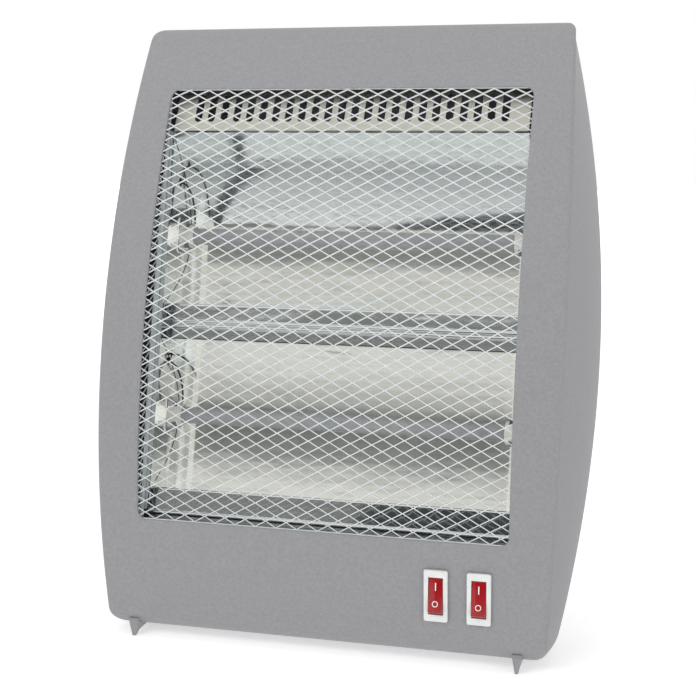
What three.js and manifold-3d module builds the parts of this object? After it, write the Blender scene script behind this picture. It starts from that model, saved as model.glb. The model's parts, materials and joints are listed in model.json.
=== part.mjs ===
// Free-standing radiant heater with two horizontal quartz lamps, in millimetres.
// +X is to the right seen from the front, +Y goes back, +Z is up; z = 0 is the floor.
// The pieces are laid out with y = 0 at the foremost line of the bowed face, and the finished
// assembly is then centred over the origin.
import * as THREE from "three";
import { mergeVertices } from "three/addons/utils/BufferGeometryUtils.js";
import Module from "manifold-3d";

const wasm = await Module();
wasm.setup();

// ---------------------------------------------------------------- driving dimensions
// Housing. The face is a parabolic bow seen from the side and slightly barrelled seen from ahead.
const overallDepth = 125; // foremost line of the face to the back of the cover and feet
const baseHeight = 5.5; // underside of the housing above the floor
const headHeight = 38.2; // housing above the window
const noseDrop = 119; // foremost line of the bow, below the middle of the reflector unit
const bowRadius = 513; // radius of the bow at its nose
const sideBand = 26.7; // of the face beside the window
const faceWidestRise = 0.3; // its widest level above the middle of the reflector unit
const faceSideRadius = 3163; // radius of the side edges of the face, seen from ahead
const sideFlare = 14.5; // the sides flare out by this to where the two shells meet
const rimWidestHeight = 172;
const rimSideRadius = 800;
const rimDepthMiddle = 68; // parting line behind the face, at mid height
const rimDepthBottom = 22; // and at the bottom
const coverTopDepth = 12.75; // back cover behind the parting line at the very top
const baseDepth = 76; // back of the cover at its foot
const backCornerWidth = 27; // how far in from the rim the back turns flat
const wall = 2.5;
const partingGap = 0.3;
const faceTopFillet = 8;
const faceBottomFillet = 11;
const backFillet = 9;
const topCornerRadius = 5;
const bottomCornerRadius = 13;
const sideFillet = 3;

// Window in the face
const windowSide = 1.5; // beyond the inner faces of the end plates
const windowHead = 2.27; // the vent panel ends this far above the window
const windowSill = 0.18; // and the lower reflector this far above its lower edge
const windowCornerRadius = 5.5;

// Grille: one sheet of expanded metal, bowed like the face, its sides folded back
const rebateLip = 1.1; // thickness left in front of the rebate that takes the grille
const rebateWidth = 2.2; // beyond the window edge, all round
const grilleGap = 0.3; // clearance all round
const grilleThickness = 0.8;
const meshColumns = 7; // half diamonds from the middle to a fold
const meshRows = 10; // whole diamonds up the front
const strandWidth = 1.7;
const grilleRim = 1.5;

// Reflector unit: a frame that leans back behind the window and carries both lamps
const unitClear = 13.24; // its flanges behind the face, where they come closest
const unitTilt = 0.44; // degrees that it leans more than the face does there
const troughSeam = 1.7; // clear height between the upper foot and the lower flange
const focalLength = 13.75; // of each parabolic trough, lamp at the focus
const troughHalfHeight = 45.9;
const sheet = 0.8;
const hoodHeight = 62.2; // the upper half of the upper trough opens wider
const hoodFront = 28.5; // and its edge comes this far ahead of the lamp
const hoodRelief = 4; // of which this much may stand ahead of the flanges
const upperBottomFlange = 9.4;
const lowerTopFlange = 9;
const lowerBottomFlange = 13.2;
const hemDepth = 1.6;
const troughSteps = 7; // each side of the vertex
const endPlateInside = 111; // inner face of an end plate, from the middle
const endFlangeWidth = 13;
const endPlateDepth = 42;
const fitGap = 0.3; // between pieces that touch

// Vent panel over the upper trough
const ventLean = 30; // degrees
const ventSlots = 24;
const ventSlotPitch = 8.33;
const ventSlotWidth = 3.9;
const ventSlotLength = 15;
const ventLip = 4;
const ventPanelHeight = 30;
const ventTopFold = 6;
const ventSlotBase = 5.7; // lower end of the slots above the bend
const ventEdgeRise = 1; // of the folded top edge

// Lamps
const tubeRadius = 5.25;
const tubeWall = 1;
const capShow = 9; // of each cap inside the end plates
const tubeInsert = 6; // quartz inside a cap
const filamentRadius = 1.6;
const filamentPinRadius = 0.8;
const capRadius = 7;
const capLength = 23;
const capPinDepth = 8;
const clipWidth = 6;
const clipThickness = 0.7;
const clipOpening = 70; // degrees left open at the front of a clip
const clipPlateHeight = 22;

// Rocker switches
const switchHeight = 43.6;
const switchDrop = 31.7; // below the window
const switchMiddle = 83.8; // middle of the pair, from the middle of the heater
const switchPitch = 25;
const bezelWidth = 14;
const bezelHeight = 31;
const bezelProud = 1.8;
const switchBodyWidth = 12.4;
const switchBodyHeight = 27.4;
const switchBodyDepth = 13;
const rockerWindowWidth = 8.8;
const rockerWindowHeight = 22.6;
const rockerHalfLength = 10;
const rockerWidth = 8.2;
const rockerPivotDepth = 3.5; // behind the front of the bezel
const rockerFaceHeight = 4.5; // rocker face ahead of its pivot
const rockerThrow = 21.6; // degrees from one latched position to the other
const trunnionRadius = 1.5;
const trunnionLength = 1;
const bladeWidth = 4.8;
const bladeThickness = 0.8;
const bladeLength = 13;
const bladeSpacing = 9;

// Feet
const footMiddle = 118; // from the middle of the heater
const footNose = 2.3;
const footNoseHeight = 11;
const toeSole = 2.4;
const toeSlope = 7; // run of the slope behind the front toe
const footBarHeight = 3; // the bar below the housing
const footTailHeight = 11;
const heelStart = 103;
const heelHalfWidth = 4;
const footEdgeHalfWidth = 0.9;
const footDraft = 0.19;
const footLugRadius = 5;
const footScrewDepths = [40, 62];

// Screws
const screwRadius = 1.5;
const screwHeadRadius = 3;
const screwHeadHeight = 2;
const pilotRadius = 1.8;
const coverScrewLow = 46;
const coverScrewDrop = 52; // upper screws below the top of the housing
const coverPostRadius = 5.5;
const coverPostSeat = 0.5; // that the posts and wells stand in the side walls
const coverWellRadius = 6;
const coverWellBore = 3.8;
const coverWellFloor = 3;
const coverScrewLength = 14;
const coverPostLength = 24;
const flangeScrewHeights = [-96, 104]; // along the reflector unit
const flangeScrewInset = 8.4; // from the inner face of the end plate
const flangeBossRadius = 3.8;
const flangeScrewLength = 9;

// Back cover details
const louvreHeight = 4;
const louvrePitch = 9;
const louvreLength = 86;
const louvreColumns = 2;
const louvreColumnPitch = 98;
const upperLouvreDrop = 108; // lowest slot of the upper bank below the top
const upperLouvreRows = 4;
const lowerLouvreBase = 62;
const lowerLouvreRows = 4;
const gripWidth = 104;
const gripHeight = 26;
const gripDrop = 48; // lower edge of the grip below the top
const gripDepth = 22;
const gripWall = 2;

// Cable inlet, without any cable
const inletInset = 43.2; // from the side edge of the face
const inletHeight = 34;
const inletBore = 3.8;
const inletNeckRadius = 6.2;
const inletFlangeRadius = 9;
const inletFlangeThickness = 3;
const inletInsideLength = 12;

// Tip-over switch: a sprung plunger that the floor holds up
const plungerDepth = 48;
const plungerRadius = 3.6;
const plungerTravel = 5;
const plungerCollarRadius = 6;
const plungerCollarHeight = 2;
const plungerStemRadius = 1.6;
const guideRadius = 6.4;
const guideHeight = 13;
const plungerStop = 0.5; // collar above the guide when the plunger is fully out
const springWire = 0.5;
const springTurns = 6;
const springRadius = 4;
const springLength = 9;
const bridgeThickness = 1.5;
const bridgeHalfSpan = 16;
const bridgeWidth = 12;
const bridgeFoot = 7;
const bushLength = 6; // collar under the bridge that keeps the stem straight
const bushRadius = 2.9;
const microSwitchSize = [20, 6.4, 10];

// Electrical pieces
const terminalBlockSize = [34, 16, 14];
const terminalBlockPlace = [58, 50];
const terminalWays = 3;
const cutoutRadius = 8;
const cutoutHeight = 6;
const leadRadius = 1.1;
const lampLeadRadius = 0.6;
const lampLeadHole = 2.8;
const leadSides = 4;

// ---------------------------------------------------------------- sizes that follow from those above
const radians = THREE.MathUtils.degToRad;
const windowHalfWidth = endPlateInside + windowSide;
const faceHalfWidth = windowHalfWidth + sideBand;
const rimHalfWidth = faceHalfWidth + sideFlare;
const tubeVisibleHalf = endPlateInside - capShow;
const ventHalfWidth = endPlateInside - 2 * fitGap;
const flangeScrewMiddle = endPlateInside + flangeScrewInset;
const inletOffset = faceHalfWidth - inletInset;
const lean = Math.atan(noseDrop / bowRadius) + radians(unitTilt);
const unitFront = focalLength - troughHalfHeight ** 2 / (4 * focalLength); // n of the flanges
const troughPitch = 2 * troughHalfHeight + lowerTopFlange + upperBottomFlange + hemDepth;
const lampPitch = troughPitch + troughSeam;
const lampUp = [lampPitch / 2, -lampPitch / 2];

// The foot of the lower reflector stands on the sill of the window, above the switches.
const windowBottom = switchHeight + switchDrop;
const lowerFoot = -troughHalfHeight - lowerBottomFlange;
const footInUnit = [unitFront + 2 * hemDepth, lampUp[1] + lowerFoot - hemDepth];
const footRise = footInUnit[0] * Math.sin(lean) - footInUnit[1] * Math.cos(lean);
const unitHeight = windowBottom + windowSill + footRise;
const bowDepth = (footInUnit[1] * Math.cos(lean)) ** 2 / (2 * bowRadius);
const unitReach = Math.max(-unitFront, hoodFront - hoodRelief);
const unitSetBack = unitClear + bowDepth + unitReach / Math.cos(lean);
const unitDepth = noseDrop ** 2 / (2 * bowRadius) + unitSetBack;
const noseHeight = unitHeight - noseDrop;
const faceWidestHeight = unitHeight + faceWidestRise;
const heightInUnit = (n, v) => unitHeight - n * Math.sin(lean) + v * Math.cos(lean);

// The slotted panel stands on the hood and leans like the face does there.
const ventTilt = radians(ventLean) - lean;
const ventBend = lampUp[0] + hoodHeight + sheet + fitGap;
const onVent = (run) => [-hoodFront + run * Math.sin(ventTilt), ventBend + run * Math.cos(ventTilt)];

// The window reaches up to the panel's top, and the housing ends above it.
const windowTop = heightInUnit(...onVent(ventPanelHeight)) - windowHead;
const overallHeight = windowTop + headHeight;
const coverScrewInset = wall + coverPostRadius - coverPostSeat;
const coverScrewHeights = [coverScrewLow, overallHeight - coverScrewDrop];
const upperLouvreBase = overallHeight - upperLouvreDrop;
const gripBase = overallHeight - gripDrop;

// ---------------------------------------------------------------- finishes
const finish = (colour, roughness, metalness = 0) => ({ colour, roughness, metalness });
const greyAbs = finish(0x9b9b9e, 0.55);
const darkAbs = finish(0x6f7073, 0.6);
const whiteNylon = finish(0xeceee9, 0.45);
const redLens = finish(0xb51d1f, 0.3);
const meshWhite = finish(0xe4e7e6, 0.4, 0.2);
const mirrorAluminium = finish(0xd2d6d6, 0.12, 1);
const galvanised = finish(0xb9bdc0, 0.35, 1);
const springSteel = finish(0xc8cbce, 0.25, 1);
const quartz = finish(0xdfe3e4, 0.2);
const steatite = finish(0xefece2, 0.7);
const resistanceWire = finish(0x5e5a57, 0.5, 0.8);
const brass = finish(0xc9a64f, 0.35, 1);
const blackNylon = finish(0x1d1d1f, 0.5);
const screwSteel = finish(0x8f9396, 0.4, 1);
const glassSleeve = finish(0xe9e6da, 0.7);

// ---------------------------------------------------------------- geometry helpers
const assembly = new THREE.Group();

function solidOf(geometry) {
  const bare = geometry.clone();
  bare.deleteAttribute("normal");
  bare.deleteAttribute("uv");
  const merged = mergeVertices(bare, 1e-4);
  return new wasm.Manifold(
    new wasm.Mesh({
      numProp: 3,
      vertProperties: new Float32Array(merged.attributes.position.array),
      triVerts: new Uint32Array(merged.index.array),
    }),
  );
}

function geometryOf(solid) {
  const mesh = solid.getMesh();
  const geometry = new THREE.BufferGeometry();
  geometry.setAttribute("position", new THREE.BufferAttribute(mesh.vertProperties, 3));
  geometry.setIndex(new THREE.BufferAttribute(mesh.triVerts, 1));
  geometry.computeVertexNormals();
  return geometry;
}

const join = (...parts) => parts.reduce((whole, part) => whole.add(part));
const cut = (whole, ...tools) => tools.reduce((rest, tool) => rest.subtract(tool), whole);

function addPiece(name, shape, look, parent = assembly) {
  const geometry = shape.isBufferGeometry ? shape : geometryOf(shape);
  const material = new THREE.MeshStandardMaterial({
    color: look.colour,
    roughness: look.roughness,
    metalness: look.metalness,
  });
  const mesh = new THREE.Mesh(geometry, material);
  mesh.name = name;
  parent.add(mesh);
  return mesh;
}

const outlineOf = (points) => new THREE.Shape(points.map(([a, b]) => new THREE.Vector2(a, b)));

const axes = (x, y, z) => new THREE.Matrix4().makeBasis(x, y, z);
const alongX = new THREE.Vector3(1, 0, 0);
const alongY = new THREE.Vector3(0, 1, 0);
const alongZ = new THREE.Vector3(0, 0, 1);

// Prisms from an outline: drawn in (y, z) and run along X, in (x, z) along Y, or in (x, y) along Z.
function prismX(points, from, to) {
  const geometry = new THREE.ExtrudeGeometry(outlineOf(points), {
    depth: to - from,
    bevelEnabled: false,
  });
  return geometry.translate(0, 0, from).applyMatrix4(axes(alongY, alongZ, alongX));
}

function prismY(points, from, to) {
  const geometry = new THREE.ExtrudeGeometry(outlineOf(points), {
    depth: to - from,
    bevelEnabled: false,
  });
  return geometry
    .translate(0, 0, -to)
    .applyMatrix4(axes(alongX, alongZ, alongY.clone().negate()));
}

function prismZ(points, from, to) {
  const geometry = new THREE.ExtrudeGeometry(outlineOf(points), {
    depth: to - from,
    bevelEnabled: false,
  });
  return geometry.translate(0, 0, from);
}

// A box between two corners
function block([x0, y0, z0], [x1, y1, z1]) {
  return new THREE.BoxGeometry(x1 - x0, y1 - y0, z1 - z0).translate(
    (x0 + x1) / 2,
    (y0 + y1) / 2,
    (z0 + z1) / 2,
  );
}

// A turned piece: [radius, distance along the axis] pairs, closed on the axis or on itself
function turned(profile, axis, sides = 16) {
  const points = profile.map(([radius, along]) => new THREE.Vector2(radius, along));
  const geometry = new THREE.LatheGeometry(points, sides);
  if (axis === "x") geometry.rotateZ(-Math.PI / 2);
  if (axis === "z") geometry.rotateX(Math.PI / 2);
  return geometry;
}

const rod = (radius, from, to, axis, sides = 16) =>
  turned([[0, from], [radius, from], [radius, to], [0, to]], axis, sides);

const ring = (inner, outer, from, to, axis, sides = 16) =>
  turned([[inner, from], [outer, from], [outer, to], [inner, to], [inner, from]], axis, sides);

// A pan-head screw along an axis: its head starts at 0 and its shank runs to -length
function screw(length, axis, sides = 6) {
  const profile = [
    [0, -length],
    [screwRadius, -length + screwRadius],
    [screwRadius, 0],
    [screwHeadRadius, 0],
    [screwHeadRadius, screwHeadHeight * 0.6],
    [screwHeadRadius * 0.6, screwHeadHeight],
    [0, screwHeadHeight],
  ];
  return turned(profile, axis, sides);
}

function roundedRectangle(x0, z0, x1, z1, radius, steps = 4) {
  const corners = [
    [x1 - radius, z0 + radius, -90],
    [x1 - radius, z1 - radius, 0],
    [x0 + radius, z1 - radius, 90],
    [x0 + radius, z0 + radius, 180],
  ];
  return corners.flatMap(([cx, cz, start]) =>
    Array.from({ length: steps + 1 }, (_, i) => {
      const angle = radians(start + (90 * i) / steps);
      return [cx + radius * Math.cos(angle), cz + radius * Math.sin(angle)];
    }),
  );
}

// A round wire along a curve: rings set square to it, turned as little as possible from one
// ring to the next
function wireAlong(curve, radius, steps, sides) {
  const sections = [];
  let across = null;
  for (let k = 0; k <= steps; k++) {
    const centre = curve.getPoint(k / steps);
    const tangent = curve.getTangent(k / steps);
    if (!across) {
      const least = Math.abs(tangent.z) < 0.7 ? alongZ : alongX;
      across = new THREE.Vector3().crossVectors(tangent, least);
    }
    across.addScaledVector(tangent, -across.dot(tangent)).normalize();
    const other = new THREE.Vector3().crossVectors(tangent, across);
    sections.push(
      Array.from({ length: sides }, (_, i) => {
        const angle = (2 * Math.PI * i) / sides;
        return centre
          .clone()
          .addScaledVector(across, radius * Math.cos(angle))
          .addScaledVector(other, radius * Math.sin(angle))
          .toArray();
      }),
    );
  }
  return loft(sections);
}

// A closed skin through convex outlines of equal point count, stacked in order, with flat ends
function loft(sections) {
  const count = sections[0].length;
  const positions = sections.flat(2);
  const index = [];
  for (let level = 0; level + 1 < sections.length; level++) {
    for (let i = 0; i < count; i++) {
      const next = (i + 1) % count;
      const low = level * count;
      const high = low + count;
      index.push(low + i, low + next, high + next, low + i, high + next, high + i);
    }
  }
  const last = (sections.length - 1) * count;
  for (let i = 1; i + 1 < count; i++) {
    index.push(0, i + 1, i);
    index.push(last, last + i, last + i + 1);
  }
  const geometry = new THREE.BufferGeometry();
  geometry.setAttribute("position", new THREE.Float32BufferAttribute(positions, 3));
  geometry.setIndex(index);
  return geometry;
}

// A strip of sheet metal bent along X: its side view follows the points, thickened to the left
function bentSheet(points, thickness, from, to) {
  const path = points.map(([y, z]) => new THREE.Vector2(y, z));
  const offset = path.map((point, i) => {
    const before = path[Math.max(i - 1, 0)];
    const after = path[Math.min(i + 1, path.length - 1)];
    const inward = (a, b) => new THREE.Vector2(a.y - b.y, b.x - a.x).normalize();
    const first = i === 0 ? inward(point, after) : inward(before, point);
    const second = i === path.length - 1 ? inward(before, point) : inward(point, after);
    const mitre = first.clone().add(second);
    mitre.multiplyScalar((2 * thickness) / mitre.lengthSq());
    return point.clone().add(mitre);
  });
  const outline = [...path, ...offset.reverse()].map((point) => [point.x, point.y]);
  if (THREE.ShapeUtils.area(outline.map(([a, b]) => new THREE.Vector2(a, b))) < 0) outline.reverse();
  return prismX(outline, from, to);
}

// ---------------------------------------------------------------- housing surfaces
const faceY = (z) => (z - noseHeight) ** 2 / (2 * bowRadius);
const faceSlope = (z) => (z - noseHeight) / bowRadius;
const faceHalf = (z) => faceHalfWidth - (z - faceWidestHeight) ** 2 / (2 * faceSideRadius);
const rimHalf = (z) => rimHalfWidth - (z - rimWidestHeight) ** 2 / (2 * rimSideRadius);
const fromMiddle = (z) => (2 * z) / overallHeight - 1;
const rimDepthTop = overallDepth - faceY(overallHeight) - coverTopDepth;
const rimDepthEnds = (z) => rimDepthBottom + ((rimDepthTop - rimDepthBottom) * z) / overallHeight;
const rimY = (z) =>
  faceY(z) + rimDepthEnds(z) + (rimDepthMiddle - rimDepthEnds(z)) * (1 - fromMiddle(z) ** 2);
const backY = (z) =>
  overallDepth -
  (overallDepth - baseDepth) * ((overallHeight - z) / (overallHeight - baseHeight)) ** 2;

// Levels where the housing is sliced: close together in the rounded top and bottom edges
function housingLevels(inset) {
  const bottom = baseHeight + inset;
  const top = overallHeight - inset;
  const edge = 13;
  const steps = 3;
  const low = [];
  const high = [];
  for (let i = 0; i <= steps; i++) {
    const run = edge * (1 - Math.cos(radians((90 * i) / steps)));
    low.push(bottom + run);
    high.unshift(top - run);
  }
  const middle = [];
  const slices = 7;
  for (let i = 1; i < slices; i++) {
    middle.push(low[steps] + ((high[0] - low[steps]) * i) / slices);
  }
  return [...low, ...middle, ...high];
}

// How far a rounded edge draws a surface in at height z
function rounding(z, inset, topRadius, bottomRadius) {
  const top = overallHeight - inset;
  const bottom = baseHeight + inset;
  const high = Math.max(topRadius - inset, 0.5);
  const low = Math.max(bottomRadius - inset, 0.5);
  const above = Math.max(z - (top - high), 0);
  const below = Math.max(bottom + low - z, 0);
  const drawn = (radius, run) => radius - Math.sqrt(Math.max(radius * radius - run * run, 0));
  return drawn(high, above) + drawn(low, below);
}

// Outline of the whole closed housing at height z, drawn in by inset
function housingOutline(z, inset) {
  const front =
    faceY(z) +
    inset * Math.hypot(1, faceSlope(z)) +
    rounding(z, inset, faceTopFillet, faceBottomFillet);
  const back = backY(z) - inset - rounding(z, inset, backFillet, backFillet);
  const corner = rounding(z, inset, topCornerRadius, bottomCornerRadius);
  const edge = faceHalf(z) - inset - corner;
  const rim = rimHalf(z) - inset - corner;
  const parting = Math.min(rimY(z), back - 1.5);
  const flat = rim - backCornerWidth;
  const side = (share) => [
    edge + (rim - edge) * Math.sin((share * Math.PI) / 2),
    front + (parting - front) * share,
  ];
  const half = [];
  const filletShare = Math.min(sideFillet / (parting - front), 0.5);
  const [filletX, filletY] = side(filletShare);
  for (let i = 0; i <= 2; i++) {
    const t = i / 2;
    half.push([
      (1 - t) ** 2 * (edge - sideFillet) + 2 * t * (1 - t) * edge + t * t * filletX,
      (1 - t) ** 2 * front + 2 * t * (1 - t) * front + t * t * filletY,
    ]);
  }
  for (let i = 1; i <= 3; i++) half.push(side(filletShare + ((1 - filletShare) * i) / 3));
  for (let i = 1; i <= 3; i++) {
    const turn = radians(30 * i);
    half.push([
      flat + (rim - flat) * Math.cos(turn),
      parting + (back - parting) * Math.sin(turn),
    ]);
  }
  const mirrored = half.map(([x, y]) => [-x, y]).reverse();
  return [...half, ...mirrored].map(([x, y]) => [x, y, z]);
}

const housingBody = (inset) =>
  solidOf(loft(housingLevels(inset).map((z) => housingOutline(z, inset))));

// Everything on one side of the curved parting surface
function partingHalf(side) {
  const reach = 400;
  const sections = [];
  for (let z = -20; z <= overallHeight + 20; z += 15) {
    const seam = rimY(z) + (side * partingGap) / 2;
    const far = side * reach;
    const near = Math.min(seam, far);
    const away = Math.max(seam, far);
    sections.push([[-reach, near, z], [reach, near, z], [reach, away, z], [-reach, away, z]]);
  }
  return solidOf(loft(sections));
}

const outside = housingBody(0);
const inside = housingBody(wall);
const clearOfHousing = housingBody(-fitGap);
const shell = outside.subtract(inside);

// ---------------------------------------------------------------- places in the reflector unit
// The unit's own axes: x across, n back through the sheet, v up along it.
const reflectorUnit = new THREE.Group();
reflectorUnit.position.set(0, unitDepth, unitHeight);
reflectorUnit.rotation.x = -lean;
assembly.add(reflectorUnit);
reflectorUnit.updateMatrixWorld(true);

// A lamp lead leaves its cap upwards and goes out through the left end plate.
const lampLeadPath = [
  [7.6, 0, capRadius + 1.2],
  [7.6, -3, 18],
  [5, -9, 30],
  [-sheet / 2, -10.5, 33],
  [-7, -10.5, 33],
].map(([inset, n, rise]) => [inset - endPlateInside, n, rise]);
const flangeY = (z) =>
  unitDepth + (z - unitHeight) * Math.tan(lean) + (unitFront - sheet) / Math.cos(lean);
const lampNames = ["upper", "lower"];
const sideNames = [["left", -1], ["right", 1]];

const inUnit = (geometry) => geometry.applyMatrix4(reflectorUnit.matrixWorld);

// ---------------------------------------------------------------- front housing
function flangeScrewPlaces() {
  return sideNames.flatMap(([, side]) =>
    flangeScrewHeights.map((v) => [side * flangeScrewMiddle, v]),
  );
}

function coverScrewPlaces() {
  return sideNames.flatMap(([, side]) =>
    coverScrewHeights.map((z) => [side * (rimHalf(z) - coverScrewInset), z]),
  );
}

function switchPlaces() {
  return sideNames.map(([name, side]) => [name, switchMiddle + (side * switchPitch) / 2]);
}

function switchFrame(x) {
  const frame = new THREE.Group();
  frame.position.set(x, faceY(switchHeight), switchHeight);
  frame.rotation.x = -Math.atan(faceSlope(switchHeight));
  frame.updateMatrixWorld(true);
  return frame;
}

function makeFrontHousing() {
  let front = shell.intersect(partingHalf(-1));
  const windowOutline = roundedRectangle(
    -windowHalfWidth,
    windowBottom,
    windowHalfWidth,
    windowTop,
    windowCornerRadius,
  );
  front = cut(front, solidOf(prismY(windowOutline, -20, faceY(windowTop) + 12)));
  // rebate behind the window edge, where the grille lies
  const rebateHeights = Array.from({ length: 13 }, (_, i) =>
    windowBottom - rebateWidth + ((windowTop - windowBottom + 2 * rebateWidth) * i) / 12,
  );
  const behind = rebateHeights.map((z) => [faceY(z) + rebateLip * Math.hypot(1, faceSlope(z)), z]);
  const rebate = [...behind, ...behind.map(([y, z]) => [y + 6, z]).reverse()].reverse();
  const rebateHalf = windowHalfWidth + rebateWidth;
  front = cut(front, solidOf(prismX(rebate, -rebateHalf, rebateHalf)));
  for (const [, x] of switchPlaces()) {
    const hole = block(
      [-switchBodyWidth / 2 - fitGap, -10, -switchBodyHeight / 2 - fitGap],
      [switchBodyWidth / 2 + fitGap, 10, switchBodyHeight / 2 + fitGap],
    );
    front = cut(front, solidOf(hole.applyMatrix4(switchFrame(x).matrixWorld)));
  }
  // bosses behind the face that the reflector unit is screwed to
  for (const [x, v] of flangeScrewPlaces()) {
    const reach = 60;
    const seat = unitFront - sheet - fitGap;
    const boss = inUnit(rod(flangeBossRadius, seat - reach, seat, "y", 8).translate(x, 0, v));
    const pilot = inUnit(
      rod(pilotRadius, seat - flangeScrewLength, seat + 1, "y", 6).translate(x, 0, v),
    );
    front = join(front, solidOf(boss).intersect(outside));
    front = cut(front, solidOf(pilot));
  }
  // posts on the side walls that the cover screws bite into
  for (const [x, z] of coverScrewPlaces()) {
    const end = rimY(z) - partingGap / 2;
    const post = rod(coverPostRadius, end - coverPostLength, end, "y", 8).translate(x, 0, z);
    const pilot = rod(pilotRadius, end - coverScrewLength, end + 5, "y", 6).translate(x, 0, z);
    front = join(front, solidOf(post).intersect(outside).intersect(partingHalf(-1)));
    front = cut(front, solidOf(pilot));
  }
  return front;
}

// ---------------------------------------------------------------- back cover
function louvreBank(base, rows) {
  const slots = [];
  for (let row = 0; row < rows; row++) {
    for (let column = 0; column < louvreColumns; column++) {
      const middle = (column - (louvreColumns - 1) / 2) * louvreColumnPitch;
      const bottom = base + row * louvrePitch;
      const near = middle - louvreLength / 2;
      const far = [near + louvreLength, overallDepth + 10, bottom + louvreHeight];
      slots.push(block([near, 0, bottom], far));
    }
  }
  return slots.map(solidOf);
}

function makeBackCover() {
  const rear = partingHalf(1);
  let cover = shell.intersect(rear);
  cover = cut(cover, ...louvreBank(upperLouvreBase, upperLouvreRows));
  cover = cut(cover, ...louvreBank(lowerLouvreBase, lowerLouvreRows));
  // hand grip: a scoop sunk into the top of the cover
  const gripMouth = backY(gripBase) + 10;
  const gripEnd = backY(gripBase) - gripDepth;
  const scoop = (grow, end) =>
    solidOf(
      prismX(
        [
          [gripMouth, gripBase - grow],
          [gripMouth, gripBase + gripHeight + grow],
          [end, gripBase + gripHeight + grow],
          [end, gripBase + gripHeight * 0.45 - grow],
          [end + gripDepth * 0.5, gripBase - grow],
        ].reverse(),
        -gripWidth / 2 - grow,
        gripWidth / 2 + grow,
      ),
    );
  cover = join(cover, scoop(gripWall, gripEnd - gripWall).intersect(outside));
  cover = cut(cover, scoop(0, gripEnd));
  // screw wells down to the parting line
  for (const [x, z] of coverScrewPlaces()) {
    const start = rimY(z) + partingGap / 2;
    const end = backY(z) + 5;
    const well = rod(coverWellRadius, start, end, "y", 8).translate(x, 0, z);
    const bore = rod(coverWellBore, start + coverWellFloor, end + 4, "y", 8).translate(x, 0, z);
    const hole = rod(pilotRadius, start - 5, start + 9, "y", 6).translate(x, 0, z);
    cover = join(cover, solidOf(well).intersect(outside).intersect(rear));
    cover = cut(cover, solidOf(bore), solidOf(hole));
  }
  // hole for the cable inlet
  const inletHole = rod(inletNeckRadius + fitGap, -wall * 3, wall * 3, "y", 16);
  cover = cut(cover, solidOf(inletHole.applyMatrix4(inletFrame().matrixWorld)));
  // guide tube of the tip-over plunger, standing on the floor of the cover
  const floorTop = baseHeight + wall;
  const guide = rod(guideRadius, baseHeight, floorTop + guideHeight, "z", 12);
  const guideBore = rod(plungerRadius + fitGap, 0, floorTop + guideHeight + 1, "z", 12);
  cover = join(cover, solidOf(guide.translate(0, plungerDepth, 0)));
  cover = cut(cover, solidOf(guideBore.translate(0, plungerDepth, 0)));
  // screw holes for the feet
  for (const [, side] of sideNames) {
    for (const y of footScrewDepths) {
      const hole = rod(pilotRadius, 0, floorTop + 6, "z", 6).translate(side * footMiddle, y, 0);
      const boss = rod(4, baseHeight + 0.5, floorTop + 6, "z", 8).translate(side * footMiddle, y, 0);
      cover = join(cover, solidOf(boss).intersect(outside).intersect(rear));
      cover = cut(cover, solidOf(hole));
    }
  }
  return cover;
}

// ---------------------------------------------------------------- grille
// Arc length along the bow from its nose to height z, and the height at a given arc length
function bowLength(z) {
  const t = faceSlope(z);
  return (bowRadius / 2) * (t * Math.hypot(1, t) + Math.asinh(t));
}

function heightAtBowLength(length) {
  let z = noseHeight + length;
  for (let i = 0; i < 6; i++) {
    z -= (bowLength(z) - length) / Math.hypot(1, faceSlope(z));
  }
  return z;
}

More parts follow.
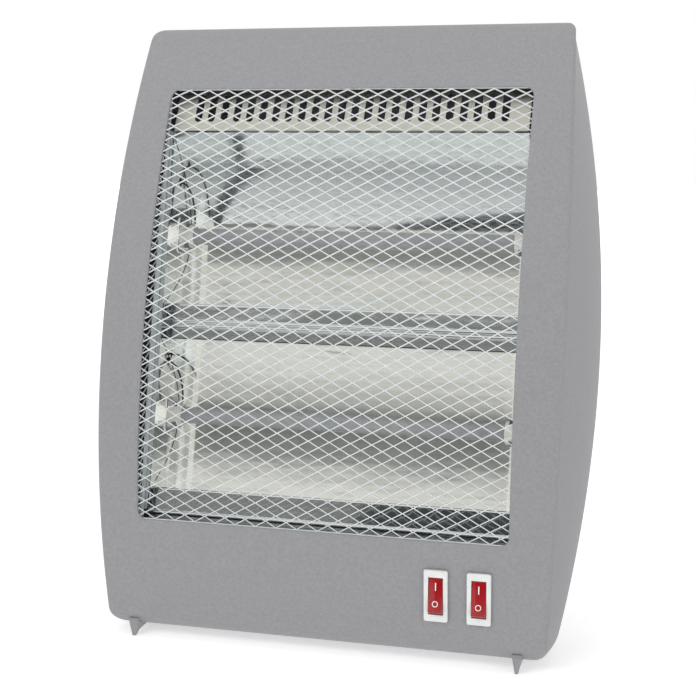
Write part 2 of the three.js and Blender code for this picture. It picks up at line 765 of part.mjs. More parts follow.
function makeGrille() {
  const halfWidth = windowHalfWidth + rebateWidth - grilleGap;
  const edge = rebateWidth - grilleGap - grilleRim;
  const low = bowLength(windowBottom - edge);
  const high = bowLength(windowTop + edge);
  const setBack = rebateLip + grilleGap;
  const columns = meshColumns; // half diamonds from the middle to the fold
  const flap = columns + 1; // and to the rear edge of the folded side
  const rows = 2 * meshRows;
  const cellWidth = halfWidth / columns;
  const cellHeight = (high - low) / rows;
  const acrossShare = strandWidth / cellHeight / 2;
  const upShare = strandWidth / cellWidth;
  const outer = [];
  const inner = [];
  const seen = new Map();
  // one point of the flat pattern, in half diamonds, folded and bowed into place
  function vertex(i, j) {
    const key = i.toFixed(4) + " " + j.toFixed(4);
    if (seen.has(key)) return seen.get(key);
    const inPattern = THREE.MathUtils.clamp(j, 0, rows);
    const z = heightAtBowLength(low + inPattern * cellHeight) + (j - inPattern) * grilleRim;
    const front = faceY(z) + setBack * Math.hypot(1, faceSlope(z));
    const side = Math.sign(i);
    const run = Math.abs(i);
    const folded = run > columns - 1e-6;
    const foldShare = Math.max(run - columns, 0) / (flap + 1 - columns);
    const x = side * Math.min(run * cellWidth, halfWidth);
    const y = front + (flangeY(z) - fitGap - front) * foldShare;
    outer.push([x, y, z]);
    inner.push([
      folded ? x - side * grilleThickness : x,
      foldShare > 0 ? y : y + grilleThickness,
      z,
    ]);
    seen.set(key, outer.length - 1);
    return outer.length - 1;
  }
  const faces = [];
  const quad = (a, b, c, d) => faces.push([a, b, c], [a, c, d]);
  for (let i = -flap; i <= flap; i++) {
    for (let j = 0; j <= rows; j++) {
      if ((i + j) % 2 !== 0) continue;
      const middle = () => vertex(i, j);
      const left = i === -flap ? middle() : vertex(i - acrossShare, j);
      const right = i === flap ? middle() : vertex(i + acrossShare, j);
      const under = j === 0 ? middle() : vertex(i, j - upShare);
      const over = j === rows ? middle() : vertex(i, j + upShare);
      const onFold = Math.abs(i) === columns;
      // the knot where strands meet, split along the line it may be folded on
      if (j === 0 && !onFold) {
        faces.push([left, right, over]);
      } else if (j === rows && !onFold) {
        faces.push([left, under, right]);
      } else {
        if (i > -flap) faces.push([left, under, over]);
        if (i < flap) faces.push([under, right, over]);
      }
      // the two strands that leave it upwards
      if (j === rows) continue;
      if (i < flap) {
        quad(right, vertex(i + 1, j + 1 - upShare), vertex(i + 1 - acrossShare, j + 1), over);
      }
      if (i > -flap) {
        quad(left, over, vertex(i - 1 + acrossShare, j + 1), vertex(i - 1, j + 1 - upShare));
      }
    }
  }
  // a plain rim round the whole pattern
  const stopsAlong = (from, to, share, kept) => {
    const stops = [];
    for (let k = from; k <= to; k += 2) {
      if (k > from) stops.push(k - share);
      if (k === from || k === to || kept(k)) stops.push(k);
      if (k < to) stops.push(k + share);
    }
    return stops;
  };
  const across = stopsAlong(-flap, flap, acrossShare, (k) => Math.abs(k) === columns);
  for (let k = 0; k + 1 < across.length; k++) {
    const [a, b] = [across[k], across[k + 1]];
    quad(vertex(a, -1), vertex(b, -1), vertex(b, 0), vertex(a, 0));
    quad(vertex(a, rows), vertex(b, rows), vertex(b, rows + 1), vertex(a, rows + 1));
  }
  const upwards = [-1, ...stopsAlong(0, rows, upShare, () => false), rows + 1];
  for (let k = 0; k + 1 < upwards.length; k++) {
    const [a, b] = [upwards[k], upwards[k + 1]];
    quad(vertex(flap, a), vertex(flap + 1, a), vertex(flap + 1, b), vertex(flap, b));
    quad(vertex(-flap - 1, a), vertex(-flap, a), vertex(-flap, b), vertex(-flap - 1, b));
  }
  return thickened(outer, inner, faces);
}

// A closed sheet from one list of faces: an outer skin, an inner skin, and a wall at every open edge
function thickened(outer, inner, faces) {
  const count = outer.length;
  const index = [];
  const open = new Map();
  for (const face of faces) {
    index.push(...face);
    index.push(face[0] + count, face[2] + count, face[1] + count);
    for (let k = 0; k < 3; k++) {
      const a = face[k];
      const b = face[(k + 1) % 3];
      if (!open.delete(b + " " + a)) open.set(a + " " + b, [a, b]);
    }
  }
  for (const [a, b] of open.values()) {
    index.push(b, a, a + count, b, a + count, b + count);
  }
  const geometry = new THREE.BufferGeometry();
  const positions = [...outer, ...inner].flat();
  geometry.setAttribute("position", new THREE.Float32BufferAttribute(positions, 3));
  geometry.setIndex(index);
  return geometry;
}

// ---------------------------------------------------------------- reflectors and their frame
// Side view of one half of a trough from its vertex to its edge, running to height reach
function troughHalf(reach, edgeDepth) {
  return Array.from({ length: troughSteps + 1 }, (_, i) => {
    const v = (reach * i) / troughSteps;
    return [focalLength - (focalLength - edgeDepth) * (v / reach) ** 2, v];
  });
}

function makeReflectors() {
  const half = endPlateInside - fitGap;
  const lowerHalf = troughHalf(-troughHalfHeight, unitFront).reverse();
  const upperHalf = troughHalf(troughHalfHeight, unitFront).slice(1);
  const hood = troughHalf(hoodHeight, -hoodFront).slice(1);
  const upperFoot = -troughHalfHeight - upperBottomFlange;
  const upper = [
    [unitFront - hemDepth, upperFoot - hemDepth],
    [unitFront - hemDepth * 0.3, upperFoot],
    ...lowerHalf,
    ...hood,
  ];
  const lower = [
    [unitFront + 2 * hemDepth, lowerFoot - hemDepth],
    [unitFront, lowerFoot],
    ...lowerHalf,
    ...upperHalf,
    [unitFront, troughHalfHeight + lowerTopFlange],
  ];
  [upper, lower].forEach((points, k) => {
    const trough = bentSheet(points, -sheet, -half, half);
    const name = lampNames[k] + "_reflector";
    addPiece(name, solidOf(trough), mirrorAluminium, reflectorUnit).position.z = lampUp[k];
  });
}

function makeEndPlates() {
  const bottom = lampUp[1] - troughHalfHeight - lowerBottomFlange;
  const top = lampUp[0] + hoodHeight;
  const near = unitFront - sheet;
  for (const [name, side] of sideNames) {
    const x = (value) => side * value;
    const outline = [
      [x(endPlateInside), near],
      [x(endPlateInside + endFlangeWidth), near],
      [x(endPlateInside + endFlangeWidth), near + sheet],
      [x(endPlateInside + sheet), near + sheet],
      [x(endPlateInside + sheet), near + endPlateDepth],
      [x(endPlateInside), near + endPlateDepth],
    ];
    if (side < 0) outline.reverse();
    let plate = solidOf(prismZ(outline, bottom, top));
    for (const v of lampUp) {
      const hole = rod(capRadius + 2 * fitGap, -200, 200, "x", 12).translate(0, 0, v);
      plate = cut(plate, solidOf(hole));
    }
    for (const v of flangeScrewHeights) {
      const hole = rod(pilotRadius, -100, 100, "y", 6).translate(x(flangeScrewMiddle), 0, v);
      plate = cut(plate, solidOf(hole));
    }
    const [, n, rise] = lampLeadPath[3];
    for (const v of side < 0 ? lampUp : []) {
      const hole = rod(lampLeadHole, -200, 0, "x", 8).translate(0, n, v + rise);
      plate = cut(plate, solidOf(hole));
    }
    addPiece("end_plate_" + name, plate, mirrorAluminium, reflectorUnit);
  }
  flangeScrewPlaces().forEach(([x, v], k) => {
    const fixing = addPiece(
      "reflector_screw_" + (k + 1),
      screw(flangeScrewLength - 1, "y"),
      screwSteel,
      reflectorUnit,
    );
    fixing.position.set(x, unitFront + fitGap, v);
  });
}

// The slotted panel above the troughs
function makeVentPanel() {
  const [foldDepth, foldUp] = onVent(ventPanelHeight);
  const sideView = [
    [ventLip - hoodFront, ventBend + 0.4],
    onVent(0),
    [foldDepth, foldUp],
    [foldDepth + ventTopFold, foldUp + ventEdgeRise],
  ];
  let panel = solidOf(bentSheet(sideView, -sheet, -ventHalfWidth, ventHalfWidth));
  const end = ventSlotWidth / 2;
  const slot = [
    [-end, end],
    [0, 0],
    [end, end],
    [end, ventSlotLength - end],
    [0, ventSlotLength],
    [-end, ventSlotLength - end],
  ];
  for (let k = 0; k < ventSlots; k++) {
    const cutter = prismY(slot, -6, 6);
    cutter.translate((k - (ventSlots - 1) / 2) * ventSlotPitch, 0, ventSlotBase);
    cutter.rotateX(-ventTilt);
    cutter.translate(0, ...onVent(0));
    panel = cut(panel, solidOf(cutter));
  }
  addPiece("vent_panel", panel, mirrorAluminium, reflectorUnit);
}

// ---------------------------------------------------------------- lamps
function makeLamps() {
  const tubeHalf = tubeVisibleHalf + tubeInsert;
  lampNames.forEach((name, k) => {
    const lamp = new THREE.Group();
    lamp.position.z = lampUp[k];
    reflectorUnit.add(lamp);
    const tube = ring(tubeRadius - tubeWall, tubeRadius, -tubeHalf, tubeHalf, "x", 12);
    addPiece(name + "_quartz_tube", tube, quartz, lamp);
    const pinEnd = tubeHalf + capPinDepth;
    const coilHalf = tubeVisibleHalf - 6;
    const filament = turned(
      [
        [0, -pinEnd],
        [filamentPinRadius, -pinEnd],
        [filamentPinRadius, -coilHalf],
        [filamentRadius, -coilHalf],
        [filamentRadius, coilHalf],
        [filamentPinRadius, coilHalf],
        [filamentPinRadius, pinEnd],
        [0, pinEnd],
      ],
      "x",
      8,
    );
    addPiece(name + "_filament", filament, resistanceWire, lamp);
    for (const [sideName, side] of sideNames) {
      const seat = tubeHalf + fitGap;
      const end = tubeVisibleHalf + capLength;
      const cap = turned(
        [
          [0, end],
          [0, pinEnd + fitGap],
          [filamentPinRadius + fitGap, pinEnd + fitGap],
          [filamentPinRadius + fitGap, seat],
          [tubeRadius + fitGap, seat],
          [tubeRadius + fitGap, tubeVisibleHalf],
          [capRadius - 0.8, tubeVisibleHalf],
          [capRadius, tubeVisibleHalf + 0.8],
          [capRadius, end - 1],
          [capRadius - 1, end],
          [0, end],
        ],
        "x",
        10,
      );
      if (side < 0) cap.rotateY(Math.PI);
      addPiece(name + "_cap_" + sideName, cap, steatite, lamp);
      addPiece(name + "_clip_" + sideName, makeClip(side), springSteel, lamp);
    }
  });
}

// A C-shaped spring that grips the cap, on a small plate that lies on the end plate
function makeClip(side) {
  const inner = capRadius + 2 * fitGap;
  const outer = inner + clipThickness;
  const steps = 8;
  const start = radians(180 + clipOpening / 2);
  const sweep = radians(360 - clipOpening);
  const arc = (radius) =>
    Array.from({ length: steps + 1 }, (_, i) => {
      const angle = start + (sweep * i) / steps;
      return [radius * Math.cos(angle), radius * Math.sin(angle)];
    });
  const outline = [...arc(outer), ...arc(inner).reverse()];
  const seat = endPlateInside - fitGap;
  const band = solidOf(prismX(outline, seat - clipWidth, seat));
  const plateOutline = roundedRectangle(
    -outer,
    -clipPlateHeight / 2,
    outer,
    clipPlateHeight / 2,
    2,
    1,
  );
  const plate = solidOf(prismX(plateOutline, seat - clipThickness, seat));
  const hole = solidOf(rod(inner, seat - clipWidth - 1, seat + 1, "x", 10));
  const slit = solidOf(block([seat - clipWidth - 1, -outer - 1, -3], [seat + 1, 0, 3]));
  let clip = join(band, cut(plate, hole));
  clip = cut(clip, slit);
  return side > 0 ? geometryOf(clip) : geometryOf(clip.mirror([1, 0, 0]));
}

// ---------------------------------------------------------------- rocker switches
// Side view of a rocker about its pivot: flat face, ends on an arc, a skirt and a round hub behind
function rockerOutline() {
  const radius = Math.hypot(rockerHalfLength, rockerFaceHeight);
  const face = Math.atan2(rockerHalfLength, -rockerFaceHeight);
  const skirt = radians(74);
  const steps = 4;
  const points = [];
  for (let i = 0; i <= steps; i++) {
    const angle = face + ((skirt - face) * i) / steps;
    points.push([radius * Math.cos(angle), radius * Math.sin(angle)]);
  }
  const hub = [[1.2, 6], [3.4, 2.4], [3.4, -2.4], [1.2, -6]];
  const lower = points.map(([y, z]) => [y, -z]).reverse();
  return [...points, ...hub, ...lower];
}

function makeSwitches() {
  for (const [name, x] of switchPlaces()) {
    const frame = switchFrame(x);
    assembly.add(frame);
    const bezelBack = -fitGap;
    const bezelFront = bezelBack - bezelProud;
    const bezel = solidOf(
      prismY(
        roundedRectangle(-bezelWidth / 2, -bezelHeight / 2, bezelWidth / 2, bezelHeight / 2, 0.8, 2),
        bezelFront,
        bezelBack,
      ),
    );
    const box = solidOf(
      block(
        [-switchBodyWidth / 2, bezelBack - 0.5, -switchBodyHeight / 2],
        [switchBodyWidth / 2, switchBodyDepth, switchBodyHeight / 2],
      ),
    );
    const well = solidOf(
      block(
        [-rockerWindowWidth / 2, bezelFront - 1, -rockerWindowHeight / 2],
        [rockerWindowWidth / 2, switchBodyDepth - 1.5, rockerWindowHeight / 2],
      ),
    );
    const pivot = bezelFront + rockerPivotDepth;
    const bearing = solidOf(
      rod(trunnionRadius + fitGap, -switchBodyWidth, switchBodyWidth, "x", 8).translate(0, pivot, 0),
    );
    let body = cut(join(bezel, box), well, bearing);
    const blades = [-bladeSpacing / 2, bladeSpacing / 2];
    for (const z of blades) {
      const slot = block(
        [-bladeWidth / 2 - fitGap, switchBodyDepth - 3, z - bladeThickness / 2 - fitGap],
        [bladeWidth / 2 + fitGap, switchBodyDepth + 1, z + bladeThickness / 2 + fitGap],
      );
      body = cut(body, solidOf(slot));
    }
    addPiece("switch_body_" + name, body, whiteNylon, frame);
    blades.forEach((z, k) => {
      const blade = block(
        [-bladeWidth / 2, switchBodyDepth - 2.5, z - bladeThickness / 2],
        [bladeWidth / 2, switchBodyDepth - 2.5 + bladeLength, z + bladeThickness / 2],
      );
      addPiece("switch_blade_" + name + "_" + (k + 1), blade, brass, frame);
    });
    const outline = rockerOutline();
    const flat = outline.map(([a, b]) => new THREE.Vector2(a, b));
    if (THREE.ShapeUtils.area(flat) < 0) outline.reverse();
    const paddle = solidOf(prismX(outline, -rockerWidth / 2, rockerWidth / 2));
    const trunnions = solidOf(
      rod(trunnionRadius, -rockerWidth / 2 - trunnionLength, rockerWidth / 2 + trunnionLength, "x", 8),
    );
    const rocker = addPiece("rocker_" + name, join(paddle, trunnions), redLens, frame);
    rocker.position.y = pivot;
    rocker.rotation.x = -radians(rockerThrow / 2);
  }
}

// ---------------------------------------------------------------- feet
function makeFeet() {
  const barBottom = baseHeight - footBarHeight;
  const sideView = [
    [footNose + 0.3, 0],
    [footNose + toeSole, 0],
    [footNose + toeSole + toeSlope * 0.45, barBottom * 0.75],
    [footNose + toeSole + toeSlope, barBottom],
    [heelStart - 22, barBottom],
    [heelStart, 0],
    [overallDepth - 0.6, 0],
    [overallDepth, 1.5],
    [overallDepth - 3, footTailHeight - 2],
    [overallDepth - 9, footTailHeight],
    [footNose + 1.2, footTailHeight],
    [footNose, footNoseHeight - 1.5],
  ];
  // the blade thins downwards from its top edge to its sole
  const blade = prismX(sideView, -1, 1);
  const place = blade.attributes.position;
  for (let i = 0; i < place.count; i++) {
    const half = footEdgeHalfWidth + footDraft * place.getZ(i);
    place.setX(i, place.getX(i) * half);
  }
  const bladeSolid = solidOf(blade);
  const heel = solidOf(
    prismX(
      [
        [heelStart + 2, 0],
        [overallDepth - 0.6, 0],
        [overallDepth - 1.2, 3],
        [heelStart + 6, 3],
      ],
      -heelHalfWidth,
      heelHalfWidth,
    ),
  );
  sideNames.forEach(([name, side]) => {
    let foot = join(bladeSolid, heel);
    for (const y of footScrewDepths) {
      const lug = rod(footLugRadius, barBottom, baseHeight, "z", 10).translate(0, y, 0);
      foot = join(foot, solidOf(lug));
    }
    foot = foot.translate([side * footMiddle, 0, 0]).subtract(clearOfHousing);
    for (const y of footScrewDepths) {
      const hole = rod(pilotRadius, -1, footTailHeight + 1, "z", 8);
      const sink = rod(screwHeadRadius + fitGap, -1, barBottom + 0.9, "z", 10);
      foot = cut(
        foot,
        solidOf(hole.translate(side * footMiddle, y, 0)),
        solidOf(sink.translate(side * footMiddle, y, 0)),
      );
    }
    addPiece("foot_" + name, foot, greyAbs);
    footScrewDepths.forEach((y, k) => {
      const fixing = addPiece("foot_screw_" + name + "_" + (k + 1), screw(7.5, "z"), screwSteel);
      fixing.rotation.x = Math.PI;
      fixing.position.set(side * footMiddle, y, barBottom + 0.9 - fitGap);
    });
  });
}

// ---------------------------------------------------------------- cover screws and cable inlet
function makeCoverScrews() {
  coverScrewPlaces().forEach(([x, z], k) => {
    const fixing = addPiece("cover_screw_" + (k + 1), screw(coverScrewLength - 1, "y"), screwSteel);
    fixing.position.set(x, rimY(z) + partingGap / 2 + coverWellFloor + fitGap, z);
  });
}

// Its axis stands square to the back of the cover, which leans there.
function inletFrame() {
  const step = 1;
  const slope = (backY(inletHeight + step) - backY(inletHeight - step)) / (2 * step);
  const frame = new THREE.Group();
  frame.position.set(inletOffset, backY(inletHeight), inletHeight);
  frame.rotation.x = -Math.atan(slope);
  frame.updateMatrixWorld(true);
  return frame;
}

function makeInlet() {
  const seat = fitGap;
  const nut = -wall / Math.cos(Math.PI / 12) - fitGap;
  const profile = [
    [inletBore, nut - inletInsideLength],
    [inletFlangeRadius - 1, nut - inletInsideLength],
    [inletFlangeRadius - 1, nut],
    [inletNeckRadius, nut],
    [inletNeckRadius, seat],
    [inletFlangeRadius, seat],
    [inletFlangeRadius - 1, seat + inletFlangeThickness],
    [inletBore + 0.8, seat + inletFlangeThickness + 1],
    [inletBore, seat + inletFlangeThickness],
    [inletBore, nut - inletInsideLength],
  ];
  const frame = inletFrame();
  assembly.add(frame);
  addPiece("cable_inlet", turned(profile, "y", 12), blackNylon, frame);
}

// ---------------------------------------------------------------- tip-over switch
function makeTipSwitch() {
  const guideTop = baseHeight + wall + guideHeight;
  const collar = guideTop + plungerStop + plungerTravel;
  const bridgeBottom = collar + plungerCollarHeight + springLength;
  const stemTop = bridgeBottom + bridgeThickness;
  const plunger = turned(
    [
      [0, 0],
      [plungerRadius - 1, 0],
      [plungerRadius, 1],
      [plungerRadius, collar],
      [plungerCollarRadius, collar],
      [plungerCollarRadius, collar + plungerCollarHeight],
      [plungerStemRadius, collar + plungerCollarHeight],
      [plungerStemRadius, stemTop],
      [0, stemTop],
    ],
    "z",
    10,
  );
  addPiece("tip_plunger", plunger, blackNylon).position.set(0, plungerDepth, 0);

  // helical spring between the collar and the bridge
  class Helix extends THREE.Curve {
    getPoint(t, target = new THREE.Vector3()) {
      const angle = 2 * Math.PI * springTurns * t;
      const low = collar + plungerCollarHeight + fitGap + springWire;
      const high = bridgeBottom - fitGap - springWire;
      return target.set(
        springRadius * Math.cos(angle),
        plungerDepth + springRadius * Math.sin(angle),
        low + (high - low) * t,
      );
    }
  }
  addPiece("tip_spring", wireAlong(new Helix(), springWire, springTurns * 6, 3), springSteel);

  // a bridge over the guide holds the micro switch above the stem
  const floorTop = baseHeight + wall + fitGap;
  const half = bridgeHalfSpan;
  const sideView = [
    [-half - bridgeFoot, floorTop],
    [-half, floorTop],
    [-half, bridgeBottom],
    [half, bridgeBottom],
    [half, floorTop],
    [half + bridgeFoot, floorTop],
    [half + bridgeFoot, floorTop + bridgeThickness],
    [half + bridgeThickness, floorTop + bridgeThickness],
    [half + bridgeThickness, bridgeBottom + bridgeThickness],
    [-half - bridgeThickness, bridgeBottom + bridgeThickness],
    [-half - bridgeThickness, floorTop + bridgeThickness],
    [-half - bridgeFoot, floorTop + bridgeThickness],
  ];
  const strap = solidOf(
    prismY(sideView, plungerDepth - bridgeWidth / 2, plungerDepth + bridgeWidth / 2),
  );
  const stemHole = rod(plungerStemRadius + fitGap, 0, 100, "z", 10).translate(0, plungerDepth, 0);
  const bush = rod(bushRadius, bridgeBottom - bushLength, bridgeBottom + 0.5, "z", 10);
  const bridge = join(strap, solidOf(bush.translate(0, plungerDepth, 0)));
  addPiece("tip_switch_bridge", cut(bridge, solidOf(stemHole)), galvanised);

  const [length, width, height] = microSwitchSize;
  const seat = stemTop + fitGap;
  const micro = block(
    [-length / 2, plungerDepth - width / 2, seat],
    [length / 2, plungerDepth + width / 2, seat + height],
  );
  addPiece("tip_micro_switch", micro, blackNylon);
}

// ---------------------------------------------------------------- terminal block and thermal cut-out
function makeElectrics() {
  const [length, width, height] = terminalBlockSize;
  const [x, y] = terminalBlockPlace;
  const bottom = baseHeight + wall + fitGap;
  let strip = solidOf(
    block([x - length / 2, y - width / 2, bottom], [x + length / 2, y + width / 2, bottom + height]),
  );
  for (let k = 0; k < terminalWays; k++) {
    const across = x + (k - (terminalWays - 1) / 2) * (length / terminalWays);
    const tunnel = rod(2, y - width, y + width, "y", 8).translate(across, 0, bottom + height / 2);
    strip = cut(strip, solidOf(tunnel));
    const valley = across + length / terminalWays / 2;
    if (k + 1 < terminalWays) {
      const top = bottom + height + 1;
      const groove = block([valley - 1, y - width, bottom + 4], [valley + 1, y + width, top]);
      strip = cut(strip, solidOf(groove));
    }
  }
  addPiece("terminal_block", strip, whiteNylon);

  const seat = -(endPlateInside + sheet + fitGap);
  const cutout = turned(
    [
      [0, seat - cutoutHeight],
      [cutoutRadius - 1, seat - cutoutHeight],
      [cutoutRadius - 1, seat - 2],
      [cutoutRadius, seat - 2],
      [cutoutRadius, seat],
      [0, seat],
    ],
    "x",
    12,
  );
  addPiece("thermal_cutout", cutout, blackNylon, reflectorUnit);
}

// ---------------------------------------------------------------- internal leads
function addLead(name, points, radius) {
  const curve = new THREE.CatmullRomCurve3(points.map((point) => new THREE.Vector3(...point)));
  addPiece(name, wireAlong(curve, radius, (points.length - 1) * 2, leadSides), glassSleeve);
}

function unitPlace(x, n, v) {
  return new THREE.Vector3(x, n, v).applyMatrix4(reflectorUnit.matrixWorld).toArray();
}

function makeLeads() {
  const capEnd = tubeVisibleHalf + capLength + fitGap;
  const [blockX, blockY] = terminalBlockPlace;
  const wayPitch = terminalBlockSize[0] / terminalWays;
  const wayHeight = baseHeight + wall + fitGap + terminalBlockSize[2] / 2;
  const blockBack = blockY + terminalBlockSize[1] / 2 + 1;
  const blockFront = blockY - terminalBlockSize[1] / 2 - 1;
  const microHeight = 44;
  const microSide = microSwitchSize[0] / 2 + 0.5;
  const [[, leftSwitch], [, rightSwitch]] = switchPlaces();
  const bladeEnd = 27.2;
  const upperBlade = switchHeight + 5.3;
  const lowerBlade = switchHeight - 3.8;
  const cutoutFace = -(endPlateInside + sheet + fitGap + cutoutHeight + 0.6);

  const fromCap = (v) => lampLeadPath.map(([x, n, rise]) => unitPlace(x, n, v + rise));
  addLead(
    "upper_lamp_lead_left",
    [
      ...fromCap(lampUp[0]),
      unitPlace(-128, -2.6, 66.5),
      unitPlace(-134, 0.7, 31.3),
      unitPlace(-134, 5.2, -8.7),
      unitPlace(-133, 9.9, -53.9),
      unitPlace(-128, 19.6, -103),
      [-112, 64, 34],
      [-90, 67, 13],
      [-40, 67, 12],
      [20, 67, 12],
      [48, 69, 13.5],
      [blockX - 1.5, 67, 15],
      [blockX, 63, wayHeight],
      [blockX, blockBack, wayHeight],
    ],
    lampLeadRadius,
  );
  addLead(
    "lower_lamp_lead_left",
    [
      ...fromCap(lampUp[1]),
      unitPlace(-127, -11, -48.6),
      unitPlace(-130, -3, -77.5),
      [-125, 48, 68],
      [-106, 54, 28],
      [-86, 60, 12],
      [-40, 60, 12],
      [20, 60, 12],
      [38, 63, 13],
      [blockX - wayPitch - 1, 64, 14.6],
      [blockX - wayPitch, 62, wayHeight],
      [blockX - wayPitch, blockBack, wayHeight],
    ],
    lampLeadRadius,
  );
  addLead(
    "upper_lamp_lead_right",
    [
      unitPlace(capEnd, 0, lampUp[0]),
      unitPlace(capEnd + 4, 0, lampUp[0]),
      unitPlace(133, 2.3, 42),
      unitPlace(133, 7.9, -2.9),
      unitPlace(132, 13.7, -53),
      unitPlace(127, 13.7, -104.4),
      [110, 44, 58],
      [85, 39, 51],
      [leftSwitch + 1, 34, upperBlade],
      [leftSwitch, bladeEnd, upperBlade],
    ],
    leadRadius,
  );
  addLead(
    "lower_lamp_lead_right",
    [
      unitPlace(capEnd, 0, lampUp[1]),
      unitPlace(capEnd + 4, 0, lampUp[1]),
      unitPlace(130, 0.4, -74.7),
      unitPlace(126, 1.1, -103.3),
      [112, 36, 62],
      [rightSwitch + 4, 33, 52],
      [rightSwitch, 30, upperBlade],
      [rightSwitch, bladeEnd, upperBlade],
    ],
    leadRadius,
  );
  addLead(
    "feed_lead",
    [
      [blockX + wayPitch, blockFront, wayHeight],
      [blockX + wayPitch, 36, 16],
      [52, 33, 24],
      [28, 42, 40],
      [microSide + 5, plungerDepth, microHeight],
      [microSide, plungerDepth, microHeight],
    ],
    leadRadius,
  );
  addLead(
    "cutout_lead_in",
    [
      [-microSide, plungerDepth, microHeight],
      [-microSide - 6, plungerDepth, microHeight],
      [-60, 56, 40],
      [-98, 58, 52],
      unitPlace(-117, 16.8, -91.3),
      unitPlace(-123, 7.5, -44.2),
      unitPlace(-124, 1.5, -14.8),
      unitPlace(cutoutFace - 3, -0.1, -3.8),
      unitPlace(cutoutFace, -0.1, -3.8),
    ],
    leadRadius,
  );
  addLead(
    "cutout_lead_out",
    [
      unitPlace(cutoutFace, 0.1, 3.9),
      unitPlace(cutoutFace - 3, 1.1, 4.2),
      unitPlace(-122, 15.3, 9.1),
      unitPlace(-110, 22.6, 12.9),
      unitPlace(-84, 15.3, 9.1),
      unitPlace(0, 9.9, 5.8),
      unitPlace(62, 12.3, 4.3),
      unitPlace(80, 23.1, -14.7),
      unitPlace(82, 26.6, -55),
      unitPlace(82, 23, -100.1),
      [76, 48, 50],
      [leftSwitch - 1.3, 36, lowerBlade],
      [leftSwitch - 1.3, bladeEnd, lowerBlade],
    ],
    leadRadius,
  );
  addLead(
    "switch_jumper",
    [
      [leftSwitch + 1.3, bladeEnd, lowerBlade],
      [leftSwitch + 2, 31, lowerBlade - 0.5],
      [leftSwitch + 8, 37, 36],
      [rightSwitch - 8, 37, 36],
      [rightSwitch - 1, 31, lowerBlade - 0.5],
      [rightSwitch, bladeEnd, lowerBlade],
    ],
    leadRadius,
  );
}

// ---------------------------------------------------------------- assembly
addPiece("front_housing", makeFrontHousing(), greyAbs);
addPiece("rear_cover", makeBackCover(), greyAbs);
addPiece("grille", makeGrille(), meshWhite);
makeReflectors();
makeEndPlates();
makeVentPanel();
makeLamps();
makeSwitches();
makeFeet();
makeCoverScrews();
makeInlet();
makeTipSwitch();
makeElectrics();
makeLeads();

assembly.updateMatrixWorld(true);
const extent = new THREE.Box3().setFromObject(assembly, true);
assembly.position.y = -(extent.min.y + extent.max.y) / 2;

export default assembly;
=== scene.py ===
import json
import math

import bmesh
import bpy
import numpy as np
from mathutils import Euler, Matrix, Vector


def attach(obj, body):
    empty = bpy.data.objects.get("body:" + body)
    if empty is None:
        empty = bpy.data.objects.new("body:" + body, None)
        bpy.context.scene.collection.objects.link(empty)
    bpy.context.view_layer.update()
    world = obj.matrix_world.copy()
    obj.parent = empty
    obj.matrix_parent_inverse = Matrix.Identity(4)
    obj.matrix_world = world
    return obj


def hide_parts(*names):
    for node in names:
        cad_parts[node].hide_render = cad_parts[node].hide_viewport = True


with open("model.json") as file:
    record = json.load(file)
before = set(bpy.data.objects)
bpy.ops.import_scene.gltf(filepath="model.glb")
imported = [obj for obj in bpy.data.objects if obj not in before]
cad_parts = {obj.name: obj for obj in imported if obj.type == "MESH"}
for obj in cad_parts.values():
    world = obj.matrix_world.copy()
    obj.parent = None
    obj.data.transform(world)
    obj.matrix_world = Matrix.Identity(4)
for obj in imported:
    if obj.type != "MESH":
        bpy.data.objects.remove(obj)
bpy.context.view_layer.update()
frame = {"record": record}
print("frame loaded")

# Sizes here are in millimetres, in the axes of the part: x right, y back, z up.
# depthShift moves the layout, whose y = 0 is the foremost line of the face, to the frame.
mm = 0.001
depthShift = -60.4865
clearance = 0.3  # between pieces that seat on each other


def toArray(values):
    return np.array(values, dtype=float)


def turnOutwards(mesh):
    work = bmesh.new()
    work.from_mesh(mesh)
    bmesh.ops.recalc_face_normals(work, faces=work.faces)
    work.to_mesh(mesh)
    work.free()


# Edges sharper than the angle stay sharp, and an angle of 0 leaves every face flat
def finishMesh(mesh, smoothAngle):
    mesh.polygons.foreach_set("use_smooth", [smoothAngle > 0] * len(mesh.polygons))
    if smoothAngle > 0:
        mesh.set_sharp_from_angle(angle=math.radians(smoothAngle))
    mesh.update()


# A piece from points in millimetres, with its faces turned outwards
def makeObject(name, vertices, faces, material, smoothAngle=35.0):
    mesh = bpy.data.meshes.new(name)
    mesh.from_pydata((toArray(vertices) * mm).tolist(), [], [list(face) for face in faces])
    mesh.validate()
    turnOutwards(mesh)
    finishMesh(mesh, smoothAngle)
    mesh.materials.append(material)
    piece = bpy.data.objects.new(name, mesh)
    bpy.context.scene.collection.objects.link(piece)
    return piece


# The piece moves with its body and stands in for the CAD nodes that are named
def settle(piece, body, slotName, *nodes):
    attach(piece, body)
    if nodes:
        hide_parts(*nodes)


# Quads between rings of equal point count, stored ring after ring
def ringFaces(rings, count, closedAlong=False, start=0):
    faces = []
    for ring in range(rings if closedAlong else rings - 1):
        near = start + ring * count
        far = start + ((ring + 1) % rings) * count
        for point in range(count):
            following = (point + 1) % count
            faces.append((near + point, near + following, far + following, far + point))
    return faces


# Flat ends on the first and the last ring
def capFaces(rings, count):
    return [tuple(range(count))[::-1], tuple(range((rings - 1) * count, rings * count))]


# A skin through rings of equal point count, with flat ends
def loftObject(name, rings, material, smoothAngle=35.0):
    count = len(rings[0])
    vertices = toArray(rings).reshape(-1, 3)
    faces = ringFaces(len(rings), count) + capFaces(len(rings), count)
    return makeObject(name, vertices, faces, material, smoothAngle)


def circlePoints(radius, sides):
    turn = np.arange(sides) * 2 * math.pi / sides
    return radius * np.stack([np.cos(turn), np.sin(turn)], 1)


